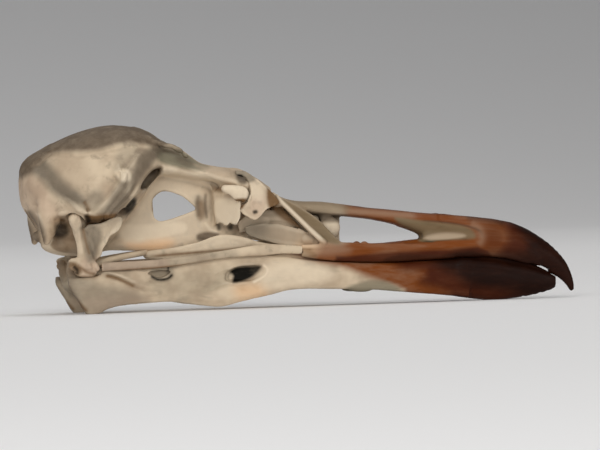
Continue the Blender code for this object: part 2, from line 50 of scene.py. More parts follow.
def photoPoint(column, row, depth=0.0):
    # where a point of the photo lies in the skull frame, depth being its |y|
    along = (column - photo["backColumn"]) * photo["pixel"] / math.cos(yaw)
    return (along - math.tan(yaw) * depth, (photo["floorRow"] - row) * photo["pixel"])


def trace(depth, *spots):
    # skull points from photo columns and rows in turn, all at one |y|
    return [photoPoint(c, r, depth) for c, r in zip(spots[::2], spots[1::2])]


def line(layer, width, strength, inner, outer, depth, *spots):
    # a painted line through spots of the photo, kept to where |y| is from inner to outer
    return (layer, "line", trace(depth, *spots), width, strength, inner, outer)


def area(layer, edge, strength, inner, outer, depth, *spots):
    return (layer, "area", trace(depth, *spots), edge, strength, inner, outer)


def standUp(points):
    # from skull millimetres to metres on the floor
    x, y, z = points[:, 0], points[:, 1], points[:, 2]
    c, s = math.cos(tilt), math.sin(tilt)
    out = np.empty_like(points)
    out[:, 0] = (x * c + z * s - rest["back"]) * mm
    out[:, 1] = y * mm
    out[:, 2] = (z * c - x * s + rest["lift"]) * mm
    return out


def smoothRows(rows, perSpan):
    # a smooth curve through rows of numbers
    rows = np.array(rows, float)
    out = []
    for i in range(len(rows) - 1):
        a, b, c = rows[max(i - 1, 0)], rows[i], rows[i + 1]
        d = rows[min(i + 2, len(rows) - 1)]
        for step in range(perSpan):
            t = step / perSpan
            out.append(0.5 * (2 * b + (c - a) * t + (2 * a - 5 * b + 4 * c - d) * t * t
                              + (3 * b - a - 3 * c + d) * t ** 3))
    out.append(rows[-1])
    return np.array(out)


def smoothLoop(points, perSpan=4):
    count = len(points)
    around = [points[-1]] + list(points) + [points[0], points[1]]
    rows = smoothRows(around, perSpan)
    return rows[perSpan:perSpan * (count + 1)]


def lineDistance(x, z, path):
    # distance to a line through points in the side view, and how far along it the nearest one is
    path = np.array(path, float)
    lengths = np.hypot(*(path[1:] - path[:-1]).T)
    total = max(lengths.sum(), 1e-6)
    best = np.full(np.broadcast(x, z).shape, 1e6)
    share = np.zeros_like(best)
    passed = 0.0
    for (ax, az), (bx, bz), length in zip(path[:-1], path[1:], lengths):
        dx, dz = bx - ax, bz - az
        t = np.clip(((x - ax) * dx + (z - az) * dz) / max(length ** 2, 1e-9), 0, 1)
        near = np.hypot(x - ax - t * dx, z - az - t * dz)
        closer = near < best
        best = np.where(closer, near, best)
        share = np.where(closer, (passed + t * length) / total, share)
        passed += length
    return best, share


def areaDistance(x, z, outline):
    # signed distance to an outline in the side view, below zero inside it
    points = np.array(outline, float)
    best = np.full(np.broadcast(x, z).shape, 1e6)
    inside = np.zeros(best.shape, bool)
    for (ax, az), (bx, bz) in zip(points, np.roll(points, -1, axis=0)):
        dx, dz = bx - ax, bz - az
        t = np.clip(((x - ax) * dx + (z - az) * dz) / max(dx * dx + dz * dz, 1e-9), 0, 1)
        best = np.minimum(best, np.hypot(x - ax - t * dx, z - az - t * dz))
        if abs(dz) > 1e-9:
            crosses = ((az > z) != (bz > z)) & (x < dx * (z - az) / dz + ax)
            inside ^= crosses
    return np.where(inside, -best, best)


def lineStroke(x, z, path, width, fade=0.15):
    # 1 on the line and fading over its width, weaker towards its ends
    near, share = lineDistance(x, z, path)
    ends = np.clip(np.minimum(share, 1 - share) / max(fade, 1e-6), 0.12, 1) if fade else 1.0
    return np.exp(-(near / width) ** 2) * ends


def areaStroke(x, z, outline, edge):
    # 1 inside an outline, falling to 0 over the edge outside it
    t = np.clip(0.5 - areaDistance(x, z, outline) / (2 * edge), 0, 1)
    return t * t * (3 - 2 * t)


# how far round a point its recess is measured, in millimetres
recessReach = {"near": 0.9, "wide": 2.6}


class Clay:
    # Signed distance in millimetres on a grid. A bone on the midline keeps only its left half.

    def __init__(self, low, high, step):
        self.step = step
        self.paired = low[1] > 0
        self.x = np.arange(low[0], high[0], step, dtype=np.float32)
        self.y = np.arange(low[1] + step / 2, high[1], step, dtype=np.float32)
        self.z = np.arange(low[2], high[2], step, dtype=np.float32)
        self.field = np.full((self.x.size, self.y.size, self.z.size), 5.0, np.float32)

    def window(self, low, high):
        cut = []
        for axis, a, b in zip((self.x, self.y, self.z), low, high):
            first = min(int(np.searchsorted(axis, a)), axis.size - 1)
            cut.append(slice(first, max(int(np.searchsorted(axis, b)), first + 1)))
        where = tuple(cut)
        return (where, self.x[cut[0]][:, None, None], self.y[cut[1]][None, :, None],
                self.z[cut[2]][None, None, :])

    def merge(self, where, value, blend, cut):
        old = self.field[where]
        if cut:
            old = -old
        h = np.clip(0.5 + 0.5 * (old - value) / max(blend, 1e-3), 0, 1)
        new = old * (1 - h) + value * h - blend * h * (1 - h)
        self.field[where] = -new if cut else new

    def ball(self, centre, radii, turn=(0, 0, 0), blend=0.6, cut=False):
        reach = max(radii) + blend + 0.6
        where, x, y, z = self.window([c - reach for c in centre], [c + reach for c in centre])
        spin = Matrix.Identity(3)
        for axis, degrees in zip("XYZ", turn):
            spin = Matrix.Rotation(math.radians(degrees), 3, axis) @ spin
        back = spin.transposed()
        dx, dy, dz = x - centre[0], y - centre[1], z - centre[2]
        turned = [back[i][0] * dx + back[i][1] * dy + back[i][2] * dz for i in range(3)]
        k0 = np.sqrt(sum((q / r) ** 2 for q, r in zip(turned, radii)))
        k1 = np.sqrt(sum((q / r ** 2) ** 2 for q, r in zip(turned, radii)))
        self.merge(where, k0 * (k0 - 1) / np.maximum(k1, 1e-4), blend, cut)

    def limb(self, points, blend=0.6, cut=False, perSpan=3):
        # points of x, y, z, half width across and half height
        rows = smoothRows(points, perSpan)
        reach = rows[:, 3:].max() + blend + 0.6
        where, x, y, z = self.window(rows[:, :3].min(0) - reach, rows[:, :3].max(0) + reach)
        best = 50.0
        for a, b in zip(rows[:-1], rows[1:]):
            along = b[:3] - a[:3]
            size = max(float(along @ along), 1e-9)
            t = ((x - a[0]) * along[0] + (y - a[1]) * along[1] + (z - a[2]) * along[2]) / size
            t = np.clip(t, 0, 1)
            wide, tall = a[3] + t * (b[3] - a[3]), a[4] + t * (b[4] - a[4])
            across = (y - a[1] - t * along[1]) / wide
            rise = np.hypot(x - a[0] - t * along[0], z - a[2] - t * along[2]) / tall
            s = np.sqrt(across ** 2 + rise ** 2)
            slope = np.sqrt((across / wide) ** 2 + (rise / tall) ** 2)
            best = np.minimum(best, (s - 1) * s / np.maximum(slope, 1e-4))
        self.merge(where, best, blend, cut)

    def loft(self, stations, upper=2.0, lower=2.0, blend=0.6, cut=False):
        # stations of x, middle y, half width, lowest z, z of the widest level, highest z
        rows = smoothRows(stations, 8)
        order = np.maximum.accumulate(rows[:, 0])
        lowest = (order[0] - blend - 1, (rows[:, 1] - rows[:, 2]).min() - 2, rows[:, 3].min() - 2)
        highest = (order[-1] + blend + 1, (rows[:, 1] + rows[:, 2]).max() + 2, rows[:, 5].max() + 2)
        where, x, y, z = self.window(lowest, highest)
        middle, half, low, wide, high = [np.interp(x, order, rows[:, k]) for k in range(1, 6)]
        above = z >= wide
        reach = np.maximum(np.where(above, high - wide, wide - low), 0.05)
        power = np.where(above, upper, lower)
        u = np.abs(y - middle) / np.maximum(half, 0.05) + 1e-4
        v = np.abs(z - wide) / reach + 1e-4
        s = (u ** power + v ** power) ** (1 / power)
        slope = np.hypot((u / s) ** (power - 1) / half, (v / s) ** (power - 1) / reach)
        value = np.maximum((s - 1) / np.maximum(slope, 1e-3), np.maximum(order[0] - x, x - order[-1]))
        self.merge(where, value, blend, cut)

    def slab(self, outline, middle, half, lean=0.0, blend=0.6, cut=False, soft=4):
        # an upright plate with a side-view outline
        points = smoothLoop(outline, soft) if soft else np.array(outline, float)
        reach = blend + 0.8
        side = half + abs(lean) * np.ptp(points[:, 0]) + reach
        where, x, y, z = self.window((points[:, 0].min() - reach, middle - side, points[:, 1].min() - reach),
                                     (points[:, 0].max() + reach, middle + side, points[:, 1].max() + reach))
        flat = areaDistance(x[:, 0], z[0], points)[:, None, :]
        across = np.abs(y - middle - lean * (x - points[0][0])) - half
        value = np.hypot(np.maximum(flat, 0), np.maximum(across, 0)) + np.minimum(np.maximum(flat, across), 0)
        self.merge(where, value, blend, cut)

    def press(self, amount, depth, where):
        self.field[where] += (depth * amount)[:, None, :].astype(np.float32)

    def crease(self, path, width, depth, inner=0.0, outer=99.0, fade=0.15, soft=4):
        # a groove along a line of the side view, or a ridge where depth is below zero
        path = smoothRows(path, soft)
        low, high = path.min(0) - 2.6 * width, path.max(0) + 2.6 * width
        where, x, y, z = self.window((low[0], inner, low[1]), (high[0], outer, high[1]))
        self.press(lineStroke(x[:, 0], z[0], path, width, fade), depth, where)

    def groove(self, width, depth, inner, side, *spots):
        # a crease through spots of the photo, traced where |y| is side
        self.crease(trace(side, *spots), width, depth, inner)

    def hollow(self, outline, edge, depth, inner=0.0, outer=99.0):
        # a shallow floor inside an outline of the side view
        points = smoothLoop(outline)
        low, high = points.min(0) - edge, points.max(0) + edge
        where, x, y, z = self.window((low[0], inner, low[1]), (high[0], outer, high[1]))
        self.press(areaStroke(x[:, 0], z[0], points, edge), depth, where)

    def keep(self, beyond):
        # cuts away all where the value is above zero
        self.field = np.maximum(self.field, beyond).astype(np.float32)

    def surface(self, rounds=2):
        # the closed skin of the clay, with how deep in a recess each point lies
        half = self.field.copy()
        if self.paired:
            full, firstY = half, self.y[0]
        else:
            full, firstY = np.concatenate([half[:, ::-1], half], axis=1), -self.y[-1]
        for side in (full[0], full[-1], full[:, 0], full[:, -1], full[:, :, 0], full[:, :, -1]):
            np.maximum(side, 1.0, out=side)
        points, quads = skin(full)
        points = relax(points, quads, rounds)
        solid = np.clip(0.5 - full / self.step, 0, 1).astype(np.float32)
        near = sampled(boxBlur(solid, max(2, round(recessReach["near"] / self.step))), points)
        wide = sampled(boxBlur(solid, max(4, round(recessReach["wide"] / self.step))), points)
        low = np.array([self.x[0], firstY, self.z[0]])
        return low + points * self.step, quads, near, wide


def skin(field):
    # one point in every cell that the surface crosses, and a face round every crossed edge
    solid = field < 0
    corners = np.zeros(tuple(n - 1 for n in field.shape), np.int8)
    offsets = [(i, j, k) for i in (0, 1) for j in (0, 1) for k in (0, 1)]
    size = corners.shape
    for i, j, k in offsets:
        corners += solid[i:i + size[0], j:j + size[1], k:k + size[2]]
    cells = np.argwhere((corners > 0) & (corners < 8))
    number = np.full(size, -1, np.int32)
    number[tuple(cells.T)] = np.arange(len(cells))
    total = np.zeros((len(cells), 3))
    count = np.zeros(len(cells))
    for a in offsets:
        for axis in range(3):
            if a[axis]:
                continue
            b = tuple(1 if n == axis else v for n, v in enumerate(a))
            fa = field[tuple((cells + a).T)]
            fb = field[tuple((cells + b).T)]
            crossed = (fa < 0) != (fb < 0)
            t = fa[crossed] / (fa[crossed] - fb[crossed])
            spot = np.tile(np.array(a, float), (crossed.sum(), 1))
            spot[:, axis] += t
            total[crossed] += spot
            count[crossed] += 1
    points = cells + total / count[:, None]
    quads = []
    for axis in range(3):
        one, two = [n for n in range(3) if n != axis]
        first = np.take(solid, range(field.shape[axis] - 1), axis)
        second = np.take(solid, range(1, field.shape[axis]), axis)
        edges = np.argwhere(first != second)
        edges = edges[(edges[:, one] > 0) & (edges[:, two] > 0)]
        ring = []
        for da, db in ((1, 1), (0, 1), (0, 0), (1, 0)):
            cell = edges.copy()
            cell[:, one] -= da
            cell[:, two] -= db
            ring.append(number[tuple(cell.T)])
        ring = np.stack(ring, axis=1)
        leaving = first[tuple(edges.T)]
        if axis == 1:
            leaving = ~leaving
        ring[~leaving] = ring[~leaving][:, ::-1]
        quads.append(ring)
    return points, np.concatenate(quads)


def relax(points, quads, rounds):
    # evens the skin without shrinking it
    ends = np.concatenate([quads[:, [0, 1]], quads[:, [1, 2]], quads[:, [2, 3]], quads[:, [3, 0]]])
    count = np.bincount(ends[:, 0], minlength=len(points)) + np.bincount(ends[:, 1], minlength=len(points))
    for _ in range(rounds):
        for strength in (0.5, -0.52):
            middle = np.zeros_like(points)
            for axis in range(3):
                middle[:, axis] = (np.bincount(ends[:, 0], points[ends[:, 1], axis], len(points))
                                   + np.bincount(ends[:, 1], points[ends[:, 0], axis], len(points)))
            points = points + strength * (middle / np.maximum(count, 1)[:, None] - points)
    return points


def boxBlur(values, radius):
    for axis in range(3):
        pad = [(0, 0)] * 3
        pad[axis] = (radius + 1, radius)
        total = np.cumsum(np.pad(values, pad), axis=axis, dtype=np.float64)
        length = values.shape[axis]
        upper = np.take(total, range(2 * radius + 1, 2 * radius + 1 + length), axis)
        lower = np.take(total, range(length), axis)
        values = ((upper - lower) / (2 * radius + 1)).astype(np.float32)
    return values


def sampled(values, points):
    base = np.clip(np.floor(points).astype(int), 0, np.array(values.shape) - 2)
    t = np.clip(points - base, 0, 1)
    out = 0.0
    for i in (0, 1):
        for j in (0, 1):
            for k in (0, 1):
                share = np.abs(1 - i - t[:, 0]) * np.abs(1 - j - t[:, 1]) * np.abs(1 - k - t[:, 2])
                out = out + share * values[base[:, 0] + i, base[:, 1] + j, base[:, 2] + k]
    return out


def makeObject(name, points, quads):
    # points in skull millimetres
    mesh = bpy.data.meshes.new(name)
    mesh.vertices.add(len(points))
    mesh.vertices.foreach_set("co", standUp(points).astype(np.float32).ravel())
    mesh.loops.add(quads.size)
    mesh.loops.foreach_set("vertex_index", quads.ravel().astype(np.int32))
    mesh.polygons.add(len(quads))
    mesh.polygons.foreach_set("loop_start", np.arange(0, quads.size, 4, dtype=np.int32))
    mesh.update(calc_edges=True)
    mesh.shade_smooth()
    piece = bpy.data.objects.new(name, mesh)
    bpy.context.scene.collection.objects.link(piece)
    return piece


def skullPoints(piece):
    # the points of a piece in skull millimetres
    placed = np.empty(len(piece.data.vertices) * 3, np.float32)
    piece.data.vertices.foreach_get("co", placed)
    placed = placed.reshape(-1, 3).astype(float) / mm - (-rest["back"], 0, rest["lift"])
    c, s = math.cos(tilt), math.sin(tilt)
    return np.stack([placed[:, 0] * c - placed[:, 2] * s, placed[:, 1],
                     placed[:, 0] * s + placed[:, 2] * c], axis=1)


def paintLayers(points, strokes):
    # Each stroke is (layer, kind, path or outline, width, strength, smallest |y|, largest |y|).
    layers = {}
    x, z, side = points[:, 0], points[:, 2], np.abs(points[:, 1])
    for layer, kind, path, width, strength, inner, outer in strokes:
        if kind == "line":
            value = lineStroke(x, z, smoothRows(path, 3), width, 0.1)
        else:
            value = areaStroke(x, z, smoothLoop(path, 3), width)
        value = value * strength * np.clip((outer - side) * 2, 0, 1)
        if inner > 0:
            value = value * np.clip((side - inner) * 2, 0, 1)
        old = layers.setdefault(layer, np.zeros(len(points)))
        layers[layer] = np.maximum(old, value) if strength > 0 else old * (1 + np.maximum(value, -1))
    return layers


# painted layers, laid over one another in this order
layerNames = ("warm", "pink", "grey", "amber", "rust", "umber", "olive", "green", "tan", "pale", "brown",
              "dark", "black", "shadowBlack")


def paint(piece, strokes, near=0.45, wide=0.4):
    # keeps on each point its place in the skull, its recess and its painted layers
    points = skullPoints(piece)
    count = len(points)
    layers = {layer: np.zeros(count) for layer in layerNames}
    layers.update(paintLayers(points, strokes))
    layers.update({"near": np.broadcast_to(near, count), "wide": np.broadcast_to(wide, count)})
    for key, values in layers.items():
        layer = piece.data.attributes.new(key, "FLOAT", "POINT")
        layer.data.foreach_set("value", np.ascontiguousarray(values, np.float32))
    place = piece.data.attributes.new("skullPlace", "FLOAT_VECTOR", "POINT")
    place.data.foreach_set("vector", points.astype(np.float32).ravel())


# Materials

def tone(red, green, blue):
    return tuple(((c + 0.055) / 1.055) ** 2.4 if c > 0.04045 else c / 12.92 for c in (red, green, blue))


class Wire:
    # a socket that can be added, multiplied and compared like a number

    def __init__(self, tree, socket):
        self.tree = tree
        self.socket = socket

    def node(self, kind, settings=None, inputs=None, out=0):
        made = self.tree.nodes.new(kind)
        for key, value in (settings or {}).items():
            setattr(made, key, value)
        for key, value in (inputs or {}).items():
            if isinstance(value, Wire):
                self.tree.links.new(value.socket, made.inputs[key])
            elif isinstance(value, tuple) and len(value) == 3 and made.inputs[key].type == "RGBA":
                made.inputs[key].default_value = (*value, 1.0)
            else:
                made.inputs[key].default_value = value
        return Wire(self.tree, made.outputs[out])

    def maths(self, operation, *values, clamp=False):
        return self.node("ShaderNodeMath", {"operation": operation, "use_clamp": clamp},
                         dict(enumerate(values)))

    def __add__(self, other):
        return self.maths("ADD", self, other)

    __radd__ = __add__

    def __mul__(self, other):
        return self.maths("MULTIPLY", self, other)

    __rmul__ = __mul__

    def __sub__(self, other):
        return self.maths("SUBTRACT", self, other)

    def __rsub__(self, other):
        return self.maths("SUBTRACT", other, self)

    def __truediv__(self, other):
        return self.maths("DIVIDE", self, other)

    def __rtruediv__(self, other):
        return self.maths("DIVIDE", other, self)

    def held(self):
        return self.maths("ADD", self, 0.0, clamp=True)

    def span(self, low, high, first=0.0, last=1.0):
        # smooth step from first to last as the value goes from low to high
        return self.node("ShaderNodeMapRange", {"interpolation_type": "SMOOTHSTEP"},
                         {0: self, 1: low, 2: high, 3: first, 4: last})

    def blend(self, first, second, kind="MIX"):
        # colours: first where the value is 0, second where it is 1
        return self.node("ShaderNodeMix", {"data_type": "RGBA", "blend_type": kind, "clamp_factor": True},
                         {0: self, 6: first, 7: second}, 2)


def startMaterial(name):
    material = bpy.data.materials.new(name)
    material.use_nodes = True
    tree = material.node_tree
    shader = tree.nodes["Principled BSDF"]
    return material, tree, shader, Wire(tree, None)


def layerWire(start, name):
    return start.node("ShaderNodeAttribute", {"attribute_name": name}, None, 2)


def noiseWire(start, place, scale, detail=3.0, rough=0.55, twist=0.0, stretch=None):
    if stretch:
        place = start.node("ShaderNodeVectorMath", {"operation": "MULTIPLY"}, {0: place, 1: stretch})
    return start.node("ShaderNodeTexNoise", None, {"Vector": place, "Scale": scale, "Detail": detail,
                                                   "Roughness": rough, "Distortion": twist})


palette = {
    "cream": tone(0.83, 0.755, 0.65),
    "tan": tone(0.72, 0.64, 0.545),
    "greyTan": tone(0.63, 0.57, 0.49),
    "olive": tone(0.47, 0.40, 0.30),
    "green": tone(0.53, 0.50, 0.42),
    "warm": tone(0.90, 0.70, 0.50),
    "pink": tone(0.76, 0.64, 0.56),
    "grey": tone(0.50, 0.46, 0.40),
    "amber": tone(0.47, 0.25, 0.10),
    "rust": tone(0.27, 0.11, 0.04),
    "umber": tone(0.19, 0.085, 0.03),
    "pale": tone(0.92, 0.855, 0.755),
    "brown": tone(0.46, 0.35, 0.235),
    "dark": tone(0.40, 0.345, 0.285),
    "black": tone(0.115, 0.045, 0.022),
    # near-black painted shadow for openings, holes and deep recesses
    "shadowBlack": tone(0.07, 0.06, 0.04),
    # dirt and painted shade, laid into recesses
    "dirtAndShade": tone(0.30, 0.225, 0.15),
}
coat = {"specular": 0.09, "bumpDistance": 0.0002}
# recess: how strongly recesses darken, as painted shade and dirt
boneLook = {"grainLength": 1.0, "roughness": 0.55, "blotches": 0.75, "recess": 0.9, "bump": 0.3,
            "base": ("cream", "tan")}
jawLook = {"grainLength": 0.35, "roughness": 0.55, "blotches": 0.55, "recess": 0.8, "bump": 0.26,
           "base": ("cream", "tan")}
billLook = {"grainLength": 0.14, "roughness": 0.55, "blotches": 0.3, "recess": 0.7, "bump": 0.18,
            "base": ("tan", "greyTan")}


def makeSurface(name, look):
    # bone with its stains, darker in its recesses as painted shade and dirt, and horn where the horn layers
    # are painted
    material, tree, shader, start = startMaterial(name)
    place = start.node("ShaderNodeAttribute", {"attribute_name": "skullPlace"}, None, 1)
    near, wide = layerWire(start, "near"), layerWire(start, "wide")
    grainWay = (look["grainLength"], 1.0, 1.0)
    broad = noiseWire(start, place, 0.12, 3, 0.6)
    patch = noiseWire(start, place, 0.42, 3, 0.55, 0.3, grainWay)
    fine = noiseWire(start, place, 1.5, 3, 0.55, 0.0, grainWay)
    first, second = look["base"]
    colour = broad.span(0.38, 0.66).blend(palette[first], palette[second])
    colour = (patch.span(0.50, 0.74) * look["blotches"]).blend(colour, palette["greyTan"])
    # paler on edges that stand out; darker in tight recesses, as painted shade and dirt
    colour = (near.span(0.47, 0.34) * 0.3).blend(colour, palette["pale"])
    colour = (near.span(0.51, 0.72) * look["recess"] * 0.75).blend(colour, palette["dirtAndShade"])
    horn = layerWire(start, "amber")
    for layer in ("rust", "umber", "black"):
        horn = horn.maths("MAXIMUM", horn, layerWire(start, layer))
    for layer in layerNames:
        amount = (layerWire(start, layer) * (0.75 + patch * 0.5 + (fine - 0.5) * 0.15)).held()
        colour = amount.blend(colour, palette[layer])
    # darker deep in wide recesses, as painted shade and dirt
    colour = (wide.span(0.60, 0.86) * look["recess"]).blend(colour, palette["dirtAndShade"])
    tree.links.new(colour.socket, shader.inputs["Base Color"])
    roughness = look["roughness"] - horn.held() * 0.12 + (fine - 0.5) * 0.16
    tree.links.new(roughness.socket, shader.inputs["Roughness"])
    bump = start.node("ShaderNodeBump", None, {"Strength": look["bump"], "Distance": coat["bumpDistance"],
                                               "Height": fine})
    tree.links.new(bump.socket, shader.inputs["Normal"])
    shader.inputs["Specular IOR Level"].default_value = coat["specular"]
    return material


# Relief and setting of materials by Geometry Nodes

def startTree(name, sockets):
    # a node group with geometry and material inputs, and the given ones with their defaults between
    tree = bpy.data.node_groups.new(name, "GeometryNodeTree")
    tree.interface.new_socket("Geometry", in_out="INPUT", socket_type="NodeSocketGeometry")
    for label, kind, value in sockets:
        tree.interface.new_socket(label, in_out="INPUT", socket_type=kind).default_value = value
    tree.interface.new_socket("Material", in_out="INPUT", socket_type="NodeSocketMaterial")
    tree.interface.new_socket("Geometry", in_out="OUTPUT", socket_type="NodeSocketGeometry")
    outputs = tree.nodes.new("NodeGroupInput").outputs
    return tree, Wire(tree, None), {socket.name: Wire(tree, socket) for socket in outputs if socket.name}


def finishTree(tree, start, geometry, material):
    real = start.node("GeometryNodeRealizeInstances", None, {"Geometry": geometry})
    coated = start.node("GeometryNodeSetMaterial", None, {"Geometry": real, "Material": material})
    finish = tree.nodes.new("NodeGroupOutput")
    tree.links.new(coated.socket, finish.inputs["Geometry"])
    return tree


def makeReliefTree():
    # lumps and grain that push the skin out along its normals
    tree, start, given = startTree("boneRelief", (
        ("Lumps", "NodeSocketFloat", 0.1), ("Lump Size", "NodeSocketFloat", 3.0),
        ("Grain", "NodeSocketFloat", 0.03), ("Grain Size", "NodeSocketFloat", 0.9),
        ("Seed", "NodeSocketFloat", 0.0)))
    place = start.node("ShaderNodeVectorMath", {"operation": "SCALE"},
                       {0: start.node("GeometryNodeInputPosition"), "Scale": 1 / mm})
    shifted = start.node("ShaderNodeVectorMath", {"operation": "ADD"}, {0: place, 1: given["Seed"]})
    lumps = noiseWire(start, shifted, 1.0 / given["Lump Size"], 2.0, 0.5)
    grain = noiseWire(start, shifted, 1.0 / given["Grain Size"], 2.0, 0.6)
    height = ((lumps - 0.5) * given["Lumps"] + (grain - 0.5) * given["Grain"]) * mm
    normal = start.node("GeometryNodeInputNormal")
    offset = start.node("ShaderNodeVectorMath", {"operation": "SCALE"}, {0: normal, "Scale": height})
    moved = start.node("GeometryNodeSetPosition", None, {"Geometry": given["Geometry"], "Offset": offset})
    return finishTree(tree, start, moved, given["Material"])


def setInputs(modifier, tree, values):
    for item in tree.interface.items_tree:
        if item.item_type == "SOCKET" and item.in_out == "INPUT" and item.name in values:
            modifier[item.identifier] = values[item.name]


def freeze(piece):
    graph = bpy.context.evaluated_depsgraph_get()
    made = bpy.data.meshes.new_from_object(piece.evaluated_get(graph))
    piece.modifiers.clear()
    piece.data = made
    made.name = piece.name
    made.shade_smooth()


def runTree(piece, tree, values, material):
    modifier = piece.modifiers.new(tree.name, "NODES")
    modifier.node_group = tree
    setInputs(modifier, tree, {**values, "Material": material})
    freeze(piece)


def present(piece, node):
    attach(piece, "root")
    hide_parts(node)
    print(piece.name, len(piece.data.polygons) * 2, "triangles")


def addBone(clay, strokes, look, material, nodes):
    # one bone on the midline, or the same bone on the left and the right
    points, quads, near, wide = clay.surface()
    for node, side in zip(nodes, (1, -1)):
        faces = quads if side > 0 else quads[:, ::-1]
        piece = makeObject(node + "Bone", points * (1, side, 1), faces)
        runTree(piece, reliefTree, look, material)
        paint(piece, strokes, near, wide)
        present(piece, node)


def makeSweepTree():
    # a thin bone along a path whose points know their half height
    tree, start, given = startTree("boneAlongPath", (("Flatness", "NodeSocketFloat", 0.7),
                                                     ("Sides", "NodeSocketInt", 22)))
    half = start.node("GeometryNodeInputNamedAttribute", {"data_type": "FLOAT"}, {"Name": "halfHeight"})
    curve = start.node("GeometryNodeMeshToCurve", None, {"Mesh": given["Geometry"]})
    curve = start.node("GeometryNodeSetCurveNormal", {"mode": "Z_UP"}, {"Curve": curve})
    ring = start.node("GeometryNodeCurvePrimitiveCircle", None, {"Resolution": given["Sides"], "Radius": 1.0})
    stretch = start.node("ShaderNodeCombineXYZ", None, {"X": given["Flatness"], "Y": 1.0, "Z": 1.0})
    ring = start.node("GeometryNodeTransform", None, {"Geometry": ring, "Scale": stretch})
    swept = start.node("GeometryNodeCurveToMesh", None, {"Curve": curve, "Profile Curve": ring,
                                                         "Scale": half, "Fill Caps": True})
    return finishTree(tree, start, swept, given["Material"])


def addRod(path, strokes, look, material, nodes):
    # path points are x, y, z and half height in skull millimetres
    rows = smoothRows(path, look["perSpan"])
    for node, side in zip(nodes, (1, -1)):
        mesh = bpy.data.meshes.new(node)
        places = standUp(rows[:, :3] * (1, side, 1))
        mesh.from_pydata([tuple(p) for p in places], [(i, i + 1) for i in range(len(rows) - 1)], [])
        half = mesh.attributes.new("halfHeight", "FLOAT", "POINT")
        half.data.foreach_set("value", (rows[:, 3] * mm).astype(np.float32))
        piece = bpy.data.objects.new(node + "Bone", mesh)
        bpy.context.scene.collection.objects.link(piece)
        runTree(piece, sweepTree, look, material)
        runTree(piece, reliefTree, look, material)
        paint(piece, strokes)
        present(piece, node)


sweepTree = makeSweepTree()
reliefTree = makeReliefTree()
boneMaterial = makeSurface("weatheredBone", boneLook)
print("materials made")

# Cranium

braincase = [(0, 0, 0.8, 27.6, 29, 30.4), (0.5, 0, 4.6, 24.6, 28.8, 33), (2, 0, 8.6, 21.2, 27.6, 34.8),
    (5, 0, 12, 17.6, 25.8, 36.7), (9, 0, 14.4, 15.4, 24.6, 38.9), (14, 0, 15.9, 14.2, 24.2, 40.9),
    (19, 0, 16.2, 15, 25, 42.1), (23, 0, 15.2, 20, 28, 42.1), (26.5, 0, 12.6, 24.6, 31, 41.5),
    (29.5, 0, 9, 28.8, 33.4, 40.2), (32, 0, 4.6, 31.6, 34.6, 38.4)]
brow = [(26, 0, 11.4, 31.4, 33.6, 41.4), (29, 0, 9, 31.3, 33.2, 40.3), (31.7, 0, 7.2, 31, 32.8, 38.7),
    (34.7, 0, 6.3, 30.8, 32.4, 37.9), (37.5, 0, 6.1, 30.3, 31.8, 36.1), (40.6, 0, 6.7, 29.6, 31, 33.8),
    (43.5, 0, 7.9, 28.9, 30.4, 33.2), (46.5, 0, 9.2, 28, 29.8, 32.8), (49, 0, 8.9, 27.4, 29, 32.6),
    (51.5, 0, 8.3, 26.4, 28, 31.5), (54, 0, 7.7, 25.2, 26.6, 29.9), (56.5, 0, 7.2, 24.2, 25.4, 27.7),
    (58.6, 0, 6.9, 23.6, 24.6, 26.3)]
septum = [(22, 33), (30, 34.5), (44, 31.5), (50.5, 30), (57.5, 26.5), (57.5, 16.9), (50, 17), (45.2, 16.4),
    (41.8, 15.8), (36, 14.8), (29, 14.5), (18, 15.2), (16, 20)]
ethmoid = [(43.2, 28.6), (47.6, 29.4), (48.5, 24.6), (48.3, 21.4), (47.5, 19.5), (46.5, 20.6), (45.7, 19.6),
    (44.7, 20.5), (43.8, 20.1), (43.3, 23)]
eyeWindow = trace(0, 152, 203, 153, 198, 160, 192, 168, 191.4, 175.6, 193.7, 182.6, 197, 189.5, 202.4,
    194.7, 207.6, 194.3, 210, 188, 212.7, 180, 215.6, 170, 219, 160, 221.2, 155, 219, 153, 215.6)
templeTop = trace(12, 44, 151, 70, 153, 80, 153.5, 90, 152, 105, 149, 120, 146, 130, 144.5, 150, 147)
templeArea = trace(13, 48, 152, 80, 154.5, 105, 150.5, 130, 146, 147, 149, 131, 168, 119, 183, 105, 200, 91,
    212, 76, 201, 62, 196, 50, 179, 38, 165)
templeBack = trace(13.5, 35, 163, 40, 172, 48, 180, 60, 195, 75, 201, 88, 208, 92, 213)
templeFront = trace(14, 150, 147, 140, 157, 131, 168, 124, 177, 115, 192, 105, 202, 91, 214)

headShape = {"step": 0.3, "hingeX": 56.35, "Lumps": 0.22, "Lump Size": 4.0, "Grain": 0.05,
            "Grain Size": 1.0, "Seed": 3.0}


